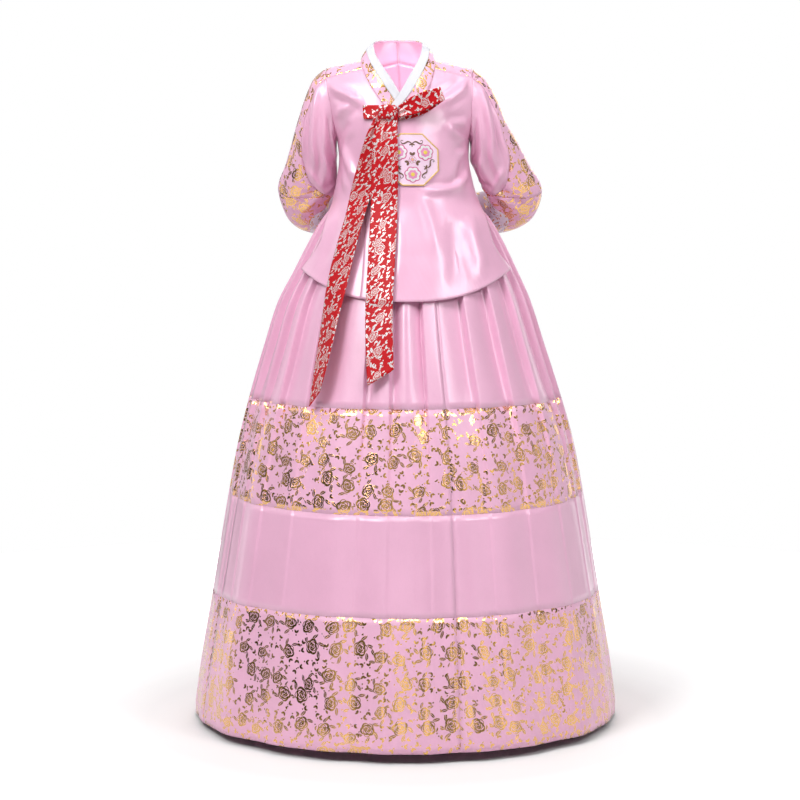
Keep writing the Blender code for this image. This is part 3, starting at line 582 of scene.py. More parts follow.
def cuff_seam(angle):
    """The station of the cuff's seam at an angle round the sleeve."""
    return CUFF_SEAM + CUFF_SLANT * max(math.cos(math.radians(angle)), 0.0) ** 1.5


def foil_half(station):
    return blend(SLEEVE_ROWS, station, 8)


SLEEVE_ROWS = tuple((float(i),) + row for i, row in enumerate(SLEEVE))
SLEEVE_RIDGES = tuple((a * STATION_LENGTH, b * DEGREE_LENGTH, c * STATION_LENGTH, d * DEGREE_LENGTH, e, f)
                      for a, b, c, d, e, f in CREASES_SLEEVE)


def collar_face(under):
    """Collar band: station along it, part 0 is its outer edge and part 1 its inner edge."""
    rows = [(float(i),) + row for i, row in enumerate(COLLAR)]
    ends = [(6.0, COLLAR[6][0], COLLAR[6][1], COLLAR[6][3], COLLAR[6][5])]
    for i, (outer_x, outer_z, inner_x, inner_z) in enumerate(COLLAR_UNDER_END):
        ends.append((7.0 + i, -outer_x, outer_z, -inner_x, inner_z))
    hand = -1 if under else 1

    def face(station, part):
        if station < 0:
            return mirrored(face(-station, part))
        station = min(station, len(COLLAR) - 1.0)
        outer_x, outer_z, _, inner_x, inner_y, inner_z = [blend(rows, station, c) for c in range(1, 7)]
        side = 1 if station > 2.8 else -1
        if under and station > 6.0:
            outer_x, outer_z, inner_x, inner_z = [blend(ends, station, c) for c in range(1, 5)]
        rise = -UNDER_TUCK * ease(station - 6.2) if under else OVER_RISE * ease((station - 5.0) / 1.5)
        outer = on_jacket(outer_x, outer_z, side, LIE + SEAM + rise, hand)
        inner = Vector((inner_x + lean(inner_z), inner_y, inner_z))
        if station > 4.9:
            inner = on_jacket(inner_x, inner_z, 1, LIE + SEAM + rise, hand)
        point = outer.lerp(inner, part)
        away = Vector((point.x - lean(point.z), point.y, 0.0)).normalized()
        crown = COLLAR_CROWN * (1 - 0.9 * ease(station - 6.2)) if under else COLLAR_CROWN
        point += (away + Vector((0, 0, 0.5))) * crown * 4 * part * (1 - part)
        return mirrored(point) if under else point
    return face


def raised(surface, height, step, flip):
    """The same face moved out by a height."""
    du, dv = step

    def face(u, v):
        across = surface(u + du, v) - surface(u - du, v)
        along = surface(u, v + dv) - surface(u, v - dv)
        return surface(u, v) + across.cross(along).normalized() * (-height if flip else height)
    return face


def hanging_face(x, z):
    """The foremost face that a ribbon hangs over at a place."""
    if z > HEM_FRONT + 0.004:
        return jacket_base(x, zeta_at(x, z), 1).y
    part = x / blend(SKIRT, z, 1)
    skirt = -blend(SKIRT, z, 2) * math.sqrt(max(1 - part ** 2, 0.0))
    return min(skirt, jacket_base(x, HEM_FRONT + 0.001, 1).y)


def badge_face(x, z, out=0.0):
    """The badge's outer face at a place from its middle."""
    x, z = x + BADGE_AT[0], z + BADGE_AT[1]
    turn = math.degrees(math.asin(x / jacket_half_width(z)))
    return on_jacket(x, z, 1, LIE + 3 * SEAM + over_rise(turn) + out)


def lay_grid(shape, us, vs, surface, flip=False, uv_from=(0.0, 0.0)):
    """Adds a grid to the bmesh, lays its points on surface(u, v) and writes its UVs in metres."""
    layer = shape.loops.layers.uv.verify()
    near = shape.verts.layers.float.get("seam_distance") or shape.verts.layers.float.new("seam_distance")
    last_u, last_v = len(us) - 1, len(vs) - 1
    made = bmesh.ops.create_grid(shape, x_segments=last_u, y_segments=last_v, size=0.5)
    table = {}
    for vertex in made["verts"]:
        i, j = round((vertex.co.x + 0.5) * last_u), round((vertex.co.y + 0.5) * last_v)
        vertex.co = surface(us[i], vs[j])
        table[vertex] = (i, j)
    at = {place: vertex.co for vertex, place in table.items()}
    middle = len(us) // 2
    run = {(middle, j): 0.0 for j in range(last_v + 1)}
    rise = {(i, 0): 0.0 for i in range(last_u + 1)}
    for j in range(last_v + 1):
        for i in range(middle + 1, last_u + 1):
            run[i, j] = run[i - 1, j] + (at[i, j] - at[i - 1, j]).length
        for i in range(middle - 1, -1, -1):
            run[i, j] = run[i + 1, j] - (at[i, j] - at[i + 1, j]).length
    for i in range(last_u + 1):
        for j in range(1, last_v + 1):
            rise[i, j] = rise[i, j - 1] + (at[i, j] - at[i, j - 1]).length
    for vertex, (i, j) in table.items():
        vertex[near] = min(rise[i, j], rise[i, last_v] - rise[i, j], FAR_FROM_SEAM)
    faces = {face for vertex in table for face in vertex.link_faces}
    for face in faces:
        for loop in face.loops:
            i, j = table[loop.vert]
            loop[layer].uv = (uv_from[0] + run[i, j], uv_from[1] + rise[i, j])
        face.smooth = True
    if flip:
        bmesh.ops.reverse_faces(shape, faces=list(faces))
    widest = max(run[last_u, j] - run[0, j] for j in range(last_v + 1))
    return widest, max(rise[i, last_v] for i in range(last_u + 1))


def put(name, data):
    """Adds an object to the scene."""
    made = bpy.data.objects.new(name, data)
    bpy.context.scene.collection.objects.link(made)
    return made


def settle(name, shape, material, replaces=None, thickness=0.0, cloth=None, lining=None):
    """Makes the bmesh an object, gives it its wall, hangs it from the root and hides the frame part it
    replaces.
    """
    mesh = bpy.data.meshes.new(name)
    shape.to_mesh(mesh)
    area = sum(face.calc_area() for face in shape.faces)
    shape.free()
    mesh.materials.append(material)
    piece = put(name, mesh)
    if thickness:
        wall = piece.modifiers.new("Wall", "SOLIDIFY")
        wall.thickness = thickness
        wall.offset = -1.0
        wall.use_even_offset = False
        if lining:
            mesh.materials.append(lining)
            wall.material_offset = 1
    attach(piece, "root")
    if replaces:
        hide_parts(replaces)
    if cloth:
        (widest, longest), held, rests_on = cloth
        flat = (widest * CUT_SLACK, longest * CUT_SLACK)
    return piece


def cloth_piece(node, surface, us, vs, finish, held="draped", rests_on=(), flip=False, closed=False,
                thickness=None, uv_from=(0.0, 0.0)):
    """One panel of the set as a thin shell on its solid's form."""
    shape = bmesh.new()
    size = lay_grid(shape, us, vs, surface, flip, uv_from)
    if closed:
        bmesh.ops.remove_doubles(shape, verts=shape.verts, dist=WELD)
    lining = fetch("pink satin") if finish == "foil satin" else None
    wall = thickness or bpy.context.scene.hanbok_sizes.shell
    return settle(node + "_cloth", shape, fetch(finish), node, wall, (size, held, rests_on),
                  lining)


class Formula:
    """A number in a material's node tree that plain arithmetic builds on."""

    def __init__(self, tree, socket):
        self.tree = tree
        self.socket = socket

    def math(self, operation, *others):
        node = self.tree.nodes.new("ShaderNodeMath")
        node.operation = operation
        for place, value in enumerate((self,) + others):
            if isinstance(value, Formula):
                self.tree.links.new(value.socket, node.inputs[place])
            else:
                node.inputs[place].default_value = value
        return Formula(self.tree, node.outputs[0])

    def __add__(self, other):
        return self.math("ADD", other)

    def __sub__(self, other):
        return self.math("SUBTRACT", other)

    def __mul__(self, other):
        return self.math("MULTIPLY", other)

    def sine(self):
        return self.math("SINE")

    def size(self):
        return self.math("ABSOLUTE")

    def below(self, other):
        return self.math("LESS_THAN", other)

    def above(self, other):
        return self.math("GREATER_THAN", other)

    def most(self, other):
        return self.math("MAXIMUM", other)


def dial(node, **values):
    """Sets a node's own inputs; an underscore in a name stands for a space."""
    for name, value in values.items():
        node.inputs[name.replace("_", " ")].default_value = value
    return node


def add_node(tree, kind, vector=None, **values):
    """Adds a shader node, sets its inputs and links its vector."""
    node = dial(tree.nodes.new("ShaderNode" + kind), **values)
    if vector is not None:
        tree.links.new(vector, node.inputs["Vector"])
    return node


def noise(tree, vector, scale, detail=2.0, rough=0.5):
    node = add_node(tree, "TexNoise", vector, Scale=scale, Detail=detail, Roughness=rough)
    return Formula(tree, node.outputs["Fac"])


def stretched(tree, vector, scale, turn=0.0):
    return add_node(tree, "Mapping", vector, Scale=scale, Rotation=(0.0, 0.0, turn)).outputs["Vector"]


def scattered(tree, vector, spacing, randomness):
    """Places spread over the cloth: each point's offset from the nearest one, and its own number."""
    node = add_node(tree, "TexVoronoi", vector)
    node.voronoi_dimensions = "2D"
    dial(node, Scale=1.0 / spacing, Randomness=randomness)
    offset = add_node(tree, "VectorMath")
    offset.operation = "SUBTRACT"
    tree.links.new(vector, offset.inputs[0])
    tree.links.new(node.outputs["Position"], offset.inputs[1])
    parts = add_node(tree, "SeparateXYZ", offset.outputs[0])
    tint = add_node(tree, "SeparateColor")
    tree.links.new(node.outputs["Color"], tint.inputs[0])
    return [Formula(tree, split.outputs[i]) for split in (parts, tint) for i in (0, 1)]


def turned(x, y, turn):
    """The same offset in axes turned by an angle."""
    cosine, sine = turn.math("COSINE"), turn.sine()
    return x * cosine + y * sine, y * cosine - x * sine


def leaf(along, off, half_length, half_width, rib):
    """A pointed leaf with a thin rib left open down its middle."""
    edge = (along * along) * (-half_width / half_length ** 2) + half_width
    return off.size().below(edge) * off.size().above(rib)


def rose_print(tree, vector, size, bold=1.0, roses=True):
    """Line-drawn roses in scalloped rings, leaves round them and sprigs between; 1 on the print."""
    mm = 0.001 * size
    x, y, number, other = scattered(tree, vector, ROSE_SPACING * mm, 0.62)
    around = y.math("ARCTAN2", x) + number * FULL_TURN
    radius = (x * x + y * y).math("SQRT").math("DIVIDE", other * 0.25 + 0.85)
    petal_lines = (around * 2.5).sine().size().below(0.20)
    flower = petal_lines * radius.above(8.6 * mm) * radius.below(10.4 * mm)
    for reach, petals, shift, line in ROSE_RINGS:
        scallop = (around * petals + shift).sine().size() * (0.20 * reach * mm) + 0.82 * reach * mm
        width = ((around * 2.0 + 2.4 * shift).sine() * 0.5 + 1.0) * (line * bold * mm)
        flower = flower.most((radius - scallop).size().below(width))
    leaf_turn = FULL_TURN / ROSE_LEAVES
    local = around.math("FLOORED_MODULO", leaf_turn) - leaf_turn / 2
    leaf_x = radius * local.math("COSINE") - LEAF_AT * mm
    slant = radius * local.sine() + leaf_x * 0.55
    here = (around + number * 9.0).sine().above(-0.35)
    leaves = leaf(leaf_x, slant, 6.4 * mm, 3.3 * mm, 0.30 * mm) * here
    x2, y2, number2, other2 = scattered(tree, vector, SPRIG_SPACING * mm, 0.80)
    across, up = turned(x2, y2, number2 * FULL_TURN)
    lean_x, lean_y = across * 0.80 + up.size() * 0.60, up.size() * 0.80 - across * 0.60
    bud = across + 3.6 * mm
    sprig = leaf(lean_x - 3.2 * mm, lean_y, 4.3 * mm, 2.0 * mm, 0.0)
    sprig = sprig.most((bud * bud + up * up).below((1.5 * mm) ** 2))
    clear = radius.above(21.5 * mm).most(radius.above(14.0 * mm) * (here * -1.0 + 1.0))
    sprig = sprig * clear * other2.above(0.12)
    return flower.most(leaves).most(sprig) if roses else sprig.most(leaves)


def ramped(tree, factor, low, high):
    """Mixes two plain colours by a formula."""
    node = tree.nodes.new("ShaderNodeMix")
    node.data_type = "RGBA"
    tree.links.new(factor.socket, node.inputs["Factor"])
    for name, colour in (("A", low), ("B", high)):
        socket = [s for s in node.inputs if s.name == name and s.type == "RGBA"][0]
        if isinstance(colour, bpy.types.NodeSocket):
            tree.links.new(colour, socket)
        else:
            socket.default_value = (*colour, 1.0)
    return [s for s in node.outputs if s.type == "RGBA"][0]


def new_material(name):
    """A material with its node tree and its shader."""
    material = bpy.data.materials.new(name)
    material.use_nodes = True
    return material, material.node_tree, material.node_tree.nodes["Principled BSDF"]


def bump(tree, shader, height, distance):
    node = add_node(tree, "Bump", Distance=distance, Strength=1.0)
    tree.links.new(height.socket, node.inputs["Height"])
    tree.links.new(node.outputs["Normal"], shader.inputs["Normal"])


def cloth_material(name, colour, roughness, sheen=0.0, coat=0.0, creased=0.5, weave=0.12,
                   gloss=0.5, printed=None):
    """Woven cloth: threads, crinkles and puckers beside seams, and a print of foil on it if asked."""
    material, tree, shader = new_material(name)
    uv = add_node(tree, "UVMap").outputs["UV"]
    patches = noise(tree, uv, 9.0, 3.0)
    threads = noise(tree, stretched(tree, uv, WARP), 1.0, 1.0)
    wefts = noise(tree, stretched(tree, uv, WEFT), 1.0, 1.0)
    fibre = (threads * 0.6 + wefts * 0.4 - 0.5) * 0.9 + patches
    ground = ramped(tree, fibre, shade(colour, 0.90), shade(colour, 1.05))
    dial(shader, Specular_IOR_Level=gloss, Sheen_Weight=sheen, Sheen_Roughness=0.35,
         Sheen_Tint=(1.0, 0.93, 0.97, 1.0), Coat_Weight=coat, Coat_Roughness=0.24)
    rough = threads * 0.10 + (roughness - 0.05)
    height = threads * (weave * 0.00020) + wefts * (weave * 0.00014)
    soft = noise(tree, stretched(tree, uv, SOFT_CRINKLE, 0.25), 1.0, 2.0, 0.45)
    fine = noise(tree, stretched(tree, uv, FINE_CRINKLE, -0.5), 1.0, 3.0, 0.55)
    height = height + soft * (creased * 0.0032) + fine * (creased * 0.00055)
    beside = add_node(tree, "Attribute")
    beside.attribute_name = "seam_distance"
    near = (Formula(tree, beside.outputs["Fac"]) * -55.0 + 1.0).most(0.0)
    pucker = noise(tree, stretched(tree, uv, PUCKER), 1.0, 1.0)
    height = height + (near * near) * pucker * 0.0020
    if printed:
        foil_colour, size, metallic, smooth, bold, roses = printed
        mask = rose_print(tree, uv, size, bold, roses)
        ground = ramped(tree, mask, ground, foil_colour)
        tree.links.new((mask * metallic).socket, shader.inputs["Metallic"])
        rough = rough + mask * (smooth - roughness)
        height = height + mask * 0.00006
    tree.links.new(ground, shader.inputs["Base Color"])
    tree.links.new(rough.socket, shader.inputs["Roughness"])
    bump(tree, shader, height, 1.0)
    return material


def thread_material(name, colour, roughness, metallic):
    """Embroidery silk, ribbed like laid stitches."""
    material, tree, shader = new_material(name)
    place = add_node(tree, "TexCoord").outputs["Object"]
    strands = noise(tree, stretched(tree, place, (900.0, 900.0, 2600.0)), 1.0, 1.0)
    tree.links.new(ramped(tree, strands, shade(colour, 0.72), colour), shader.inputs["Base Color"])
    dial(shader, Roughness=roughness, Metallic=metallic, Sheen_Weight=0.25)
    bump(tree, shader, strands, 0.0004)
    return material


class HanbokSizes(bpy.types.PropertyGroup):
    """Sizes that the maker of the set would change"""
    rose_size: bpy.props.FloatProperty(
        name="Print size", description="Size of the roses on the foil bands, 1 is 23 mm across", default=1.12)
    ribbon_rose_size: bpy.props.FloatProperty(
        name="Ribbon print size", description="Size of the ribbon's roses, 1 is 23 mm across", default=0.80)
    shell: bpy.props.FloatProperty(
        name="Cloth thickness", description="Thickness of one shown cloth", default=0.0012, unit="LENGTH")
    pleat_step: bpy.props.FloatProperty(
        name="Pleat fineness", description="Degrees between the points round the skirt", default=1.5)


def colour_property(name, description, default):
    return bpy.props.FloatVectorProperty(name=name, description=description, subtype="COLOR", size=3,
                                         default=default)


class HanbokColours(bpy.types.PropertyGroup):
    """Colours of the cloths and the studio"""
    satin: colour_property("Satin", "Pink satin of the jacket and skirt", (0.85, 0.465, 0.645))
    gold: colour_property("Gold foil", "Foil print", (0.78, 0.46, 0.17))
    white: colour_property("White", "Collar strip and cuffs", (0.80, 0.80, 0.86))
    red: colour_property("Red", "Ribbon", (0.50, 0.0, 0.005))
    silver: colour_property("Silver", "Ribbon print", (0.63, 0.65, 0.66))
    floor: colour_property("Floor", "Studio floor", (0.90, 0.90, 0.90))


def fetch(name):
    """A cloth or thread by its name, made the first time that a piece asks for it."""
    found = bpy.data.materials.get(name)
    if found:
        return found
    if name in THREADS:
        return thread_material(name, *THREADS[name])
    sizes, colours = bpy.context.scene.hanbok_sizes, bpy.context.scene.hanbok_colours
    pink, gold, white = tuple(colours.satin), tuple(colours.gold), tuple(colours.white)
    # A print gives its colour, size, metal, roughness and boldness, and whether it has roses
    gold_roses = (gold, sizes.rose_size, 1.0, 0.17, 1.45, True)
    gold_leaves = (gold, sizes.rose_size * 0.72, 1.0, 0.20, 1.0, False)
    silver_roses = (tuple(colours.silver), sizes.ribbon_rose_size, 0.30, 0.36, 0.72, True)
    cloths = {
        "pink satin": (pink, 0.30, dict(sheen=0.08, coat=0.60)),
        "foil satin": (pink, 0.40, dict(sheen=0.20, creased=0.75, printed=gold_roses)),
        # Painted light and shade: the one white is made lighter for the cuffs, which lie in shade, and darker
        # for the collar strip, which takes the lamps' full light
        "white foil satin": (shade(white, 1.12), 0.40, dict(sheen=0.20, creased=0.6, printed=gold_leaves)),
        "crisp white": (shade(white, 0.84), 0.62, dict(creased=0.08, weave=0.6)),
        "red ribbon": (tuple(colours.red), 0.50, dict(creased=0.25, gloss=0.25, printed=silver_roses)),
        "badge ground": ((0.88, 0.64, 0.80), 0.5, dict(creased=0.1, weave=0.6)),
    }
    colour, roughness, more = cloths[name]
    return cloth_material(name, colour, roughness, **more)


def skirt_columns(first, last, step):
    """Angles round one width of the skirt, closer together at each pleat's fold."""
    closest = 0.15
    angles = set(spread(first, last, int(round((last - first) / step)) + 1))
    for folds, sign in ((PLEATS_LEFT, 1), (PLEATS_RIGHT, -1)):
        for fold in folds[1:]:
            for middle in (sign * fold, sign * fold + 360.0):
                near = [middle + off * sign for off in RISER_POINTS]
                angles.update(angle for angle in near if first < angle < last)
    angles = sorted(angles)
    kept = [angles[0]]
    for angle in angles[1:-1]:
        if angle - kept[-1] > closest and angles[-1] - angle > closest:
            kept.append(angle)
    return kept + [angles[-1]]


class HANBOK_OT_skirt(bpy.types.Operator):
    """Lay the pleated skirt: chest band, pleated tier, foil band, plain tier and hem band"""
    bl_idname = "hanbok.skirt"
    bl_label = "Skirt"

    def execute(self, context):
        cloth_piece("skirt_chest_band", skirt_point, spread(0.0, 360.0, 145), spread(*CHEST_BAND, 6),
                    "pink satin", "gathered", closed=True)
        above = None
        for tier, top_side, top_front, foot_side, foot_front, rows in TIERS:
            for gore, first, last in GORES:
                edges = {first: SEAM / 8, last: -SEAM / 8}

                def face(degrees, part):
                    low = seam_height(degrees, foot_side, foot_front)
                    height = low + (seam_height(degrees, top_side, top_front) - low) * part
                    return skirt_point(degrees, height, 0.0, edges.get(degrees, 0.0))

                columns = skirt_columns(first, last, context.scene.hanbok_sizes.pleat_step)
                cloth_piece(f"skirt_{tier}_{gore}", face, columns, spread(0.0, 1.0, rows + 1),
                            "foil satin" if "band" in tier else "pink satin", "gathered",
                            [f"skirt_{above}_{gore}" if above else "skirt_chest_band"],
                            uv_from=(first * PRINT_TURN, foot_side))
            above = tier
        return {"FINISHED"}


class HANBOK_OT_jacket(bpy.types.Operator):
    """Lay the two fronts, the two backs and the foil strips over the shoulders"""
    bl_idname = "hanbok.jacket"
    bl_label = "Jacket body"

    def execute(self, context):
        rows = spread(HEM_FRONT, JACKET_TOP, 84)
        for name, sign, side in (("jacket_front_over", 1, 1), ("jacket_front_under", -1, 1),
                                 ("jacket_back_left", 1, -1), ("jacket_back_right", -1, -1)):
            over = name == "jacket_front_over"

            def face(part, zeta):
                wide = jacket_half_width(zeta)
                trim = math.degrees(SEAM / 2 / wide)
                end = blend(SLIT_EDGE, zeta, 1) if zeta < SLIT_TOP else 90.0
                start = trim
                if side > 0:
                    inner = blend(FRONT_EDGES, zeta, 2 if over else 1) * sign
                    start = math.degrees(math.asin(max(min(inner / wide, 1.0), -1.0)))
                angle = start + (end - trim - start) * part
                point = jacket_ring(angle, zeta, side, over_rise(angle) if over else 0.0, sign)
                return point if sign > 0 else mirrored(point)

            cloth_piece(name, face, spread(0.0, 1.0, 61 if side > 0 else 45), rows, "pink satin", "draped",
                        ["skirt_chest_band"], flip=sign * side < 0)
        reach = STRIP_ANGLE - 0.5
        for hand, sign in (("left", 1), ("right", -1)):
            def strip(x, angle):
                zeta = ARM_MIDDLE + ARM_HALF * math.cos(math.radians(angle))
                side = 1 if angle >= 0 else -1
                point = jacket_point(min(x, jacket_half_width(zeta)), zeta, side, 0.0, sign)
                return point if sign > 0 else mirrored(point)

            cloth_piece(f"shoulder_strip_{hand}", strip, spread(*SHOULDER_SPAN, 17),
                        spread(-reach, reach, 21), "foil satin", "draped",
                        ["jacket_front_over" if sign > 0 else "jacket_front_under"],
                        flip=sign > 0, uv_from=(0.1 * sign, 0.0))
        return {"FINISHED"}


class HANBOK_OT_sleeves(bpy.types.Operator):
    """Lay the sleeves: foil over the top, satin under the arm, foil forearms and white cuffs"""
    bl_idname = "hanbok.sleeves"
    bl_label = "Sleeves and cuffs"

    def execute(self, context):
        for hand, sign in (("left", 1), ("right", -1)):
            def forearm(angle, part):
                start, end = ELBOW + ELBOW_GAP, cuff_seam(angle) - CUFF_GAP
                return sleeve_point(start + (end - start) * part, angle, sign)

            def cuff(angle, part):
                start = cuff_seam(angle) + CUFF_GAP
                return sleeve_point(start + (CUFF_END - start) * part, angle, sign)

            def upper(part, station):
                return sleeve_point(station, (foil_half(station) - FOIL_SEAM) * part, sign)

            def under(part, station):
                edge = foil_half(station) + FOIL_SEAM
                return sleeve_point(station, edge + (360 - 2 * edge) * part, sign)

            stations, turns = spread(0.03, ELBOW - ELBOW_GAP, 61), spread(0.0, 360.0, 81)
            top, fore, flip = f"sleeve_top_{hand}", f"sleeve_forearm_{hand}", sign < 0
            cloth_piece(top, upper, spread(-1.0, 1.0, 37), stations, "foil satin", "draped",
                        [f"shoulder_strip_{hand}"], flip, uv_from=(0.3 * sign, 0.0))
            cloth_piece(f"sleeve_under_{hand}", under, spread(0.0, 1.0, 61), stations, "pink satin", "draped",
                        [top], flip)
            cloth_piece(fore, forearm, turns, spread(0.0, 1.0, 45), "foil satin", "draped", [top], flip,
                        closed=True, uv_from=(0.7 * sign, 0.0))
            cloth_piece(f"cuff_{hand}", cuff, turns, spread(0.0, 1.0, 29), "white foil satin", "draped",
                        [fore], flip, closed=True)
        return {"FINISHED"}


class HANBOK_OT_collar(bpy.types.Operator):
    """Lay the two foil collar bands and the crisp white strips on their inner edges"""
    bl_idname = "hanbok.collar"
    bl_label = "Collar"

    def execute(self, context):
        stations = spread(0.0, 8.0, 73)
        for side, under in (("over", False), ("under", True)):
            band = collar_face(under)
            cloth_piece(f"collar_{side}", band, stations, spread(0.0, 1.0, 15), "foil satin", "draped",
                        [f"jacket_front_{side}"], not under, thickness=COLLAR_WALL,
                        uv_from=(0.5 if under else 0.9, 0.0))
            strip = raised(band, CRISP + SEAM, (0.05, 0.02), not under)
            cloth_piece(f"white_strip_{side}", strip, stations, spread(WHITE_STRIP_FROM, 1.0, 9),
                        "crisp white", "draped", [f"collar_{side}"], not under, thickness=STRIP_WALL)
        return {"FINISHED"}


class HANBOK_OT_ribbon(bpy.types.Operator):
    """Tie the red ribbon: stub, knot, loop and two hanging tails"""
    bl_idname = "hanbok.ribbon"
    bl_label = "Ribbon"

    def execute(self, context):
        for name, rows, seed in (("ribbon_tail_left", TAIL_LEFT, 0.0),
                                 ("ribbon_tail_right", TAIL_RIGHT, 2.1)):
            def tail(part, z):
                z += TAIL_CUT * (part + 1) / 2 * ease((rows[-1][0] + 0.12 - z) / 0.12)
                x, half, turn, off = [blend(rows, z, c) for c in (1, 2, 3, 4)]
                turn = math.radians(turn)
                fall = ease((-0.135 - z) / 0.08)
                curl = 0.0022 * part * part * math.sin(z * 15.0 + seed) * fall
                gather = (1 - fall) * 0.0016 * math.cos(part * 9.0 + seed)
                across = Vector((math.cos(turn), math.sin(turn), 0)) * (half * part)
                away = Vector((math.sin(turn), -math.cos(turn), 0)) * (curl + gather)
                return Vector((x + lean(z), hanging_face(x, z) - off, z)) + across + away

            cloth_piece(name, tail, spread(-1.0, 1.0, 19), spread(rows[-1][0], rows[0][0] + 0.010, 92),
                        "red ribbon", "hung", ["ribbon_knot"], thickness=RIBBON_WALL, uv_from=(seed, 0.0))
        knot_y = jacket_base(KNOT_AT[0], zeta_at(*KNOT_AT), 1).y - KNOT_OUT
        start = LOOP_REACH * (0.5 - 0.5 * math.cos(math.radians(LOOP_ENDS)))

        def loop(turn, part):
            swing = math.radians(turn)
            along = LOOP_REACH * (0.5 - 0.5 * math.cos(swing))
            grow = 0.72 + 0.28 * ease(along / 0.035) - 0.24 * ease((along - 0.05) / 0.05)
            y = knot_y + 0.002 - 0.5 * LOOP_DEPTH * math.sin(swing)
            x = KNOT_AT[0] + KNOT_SIZE[0] + SEAM + along - start
            centre = Vector((x, y, KNOT_AT[1] - 0.001 + LOOP_RISE * along))
            centre.x += lean(centre.z)
            gather = (1 - ease(along / 0.045)) * 0.0014 * math.cos(part * 8.0)
            centre.y += gather if turn > 180 else -gather
            centre.z -= LOOP_DROP * ease((turn - 180.0) / 90.0)
            slant = -LOOP_RISE * ease(along / 0.05)
            return centre + Vector((slant * part, 0, part)) * (LOOP_WIDTH / 2 * grow)

        cloth_piece("ribbon_loop", loop, spread(LOOP_ENDS, 360.0 - LOOP_ENDS, 61), spread(-1.0, 1.0, 15),
                    "red ribbon", "folded", ["ribbon_knot"], thickness=RIBBON_WALL, uv_from=(3.3, 0.0))

        def stub(x, z):
            return on_jacket(x, z, 1, OVER_RISE + LIE)

        left, right, foot, top = STUB
        cloth_piece("ribbon_stub", stub, spread(left, right + 0.007, 13), spread(foot, top, 13), "red ribbon",
                    "laid", ["jacket_front_under"], thickness=RIBBON_WALL, uv_from=(4.1, 0.0))
        middle = Vector((KNOT_AT[0] + lean(KNOT_AT[1]), knot_y, KNOT_AT[1]))

        def wrapped(turn, rise):
            swing, climb = math.radians(turn), math.radians(rise)
            spot = (math.cos(climb) * math.sin(swing), -math.cos(climb) * math.cos(swing), math.sin(climb))
            folds = 0.06 * math.sin(5.0 * swing + 2.2 * spot[2])
            folds += 0.04 * math.sin(3.0 * swing - 4.0 * spot[2])
            squared = [math.copysign(abs(value) ** 0.68, value) for value in spot]
            groove = 0.10 * math.exp(-((spot[0] * 1.2 - 0.35 * spot[2]) / 0.16) ** 2)
            tuck = 0.965 + folds * math.cos(climb) - groove
            return middle + Vector([KNOT_SIZE[i] * min(tuck, 1.0) * squared[i] for i in range(3)])

        shape = bmesh.new()
        lay_grid(shape, spread(-180.0, 180.0, 73), spread(-90.0, 90.0, 41), wrapped, uv_from=(5.0, 0.0))
        bmesh.ops.remove_doubles(shape, verts=shape.verts, dist=WELD)
        settle("ribbon_knot_cloth", shape, fetch("red ribbon"), "ribbon_knot")
        return {"FINISHED"}


def lay_petal(shape, centre, turn, start, length, width, height, base):
    """A domed stitch-filled petal or leaf on the badge, pointing outwards from a centre."""
    def face(u, v):
        along = start + length * v
        off = width * u * math.sin(math.pi * min(max(v, 0.01), 0.99)) ** 0.5
        dome = base + height * (1 - u * u) * math.sin(math.pi * v)
        x = centre[0] + along * math.cos(turn) - off * math.sin(turn)
        z = centre[1] + along * math.sin(turn) + off * math.cos(turn)
        return badge_face(x, z, dome)
    ring = [0.5 - 0.5 * math.cos(math.pi * i / 10) for i in range(11)]
    lay_grid(shape, spread(-1.0, 1.0, 5), ring, face, True)


def lay_cord(shape, path, radius, base):
    """A laid cord of threads along a path on the badge, thickest before its curled end."""
    def face(turn, place):
        x, z = path(max(place - 0.01, 0.0))
        x1, z1 = path(min(place + 0.01, 1.0))
        thick = radius * (0.55 + 0.75 * math.sin(math.pi * min(place / 0.75, 1.0)))
        across = Vector((z1 - z, -(x1 - x))).normalized() * (thick * math.cos(math.radians(turn)))
        x, z = path(place)
        return badge_face(x + across.x, z + across.y, base + thick * 0.8 * math.sin(math.radians(turn)))
    lay_grid(shape, spread(0.0, 180.0, 5), spread(0.0, 1.0, 45), face)


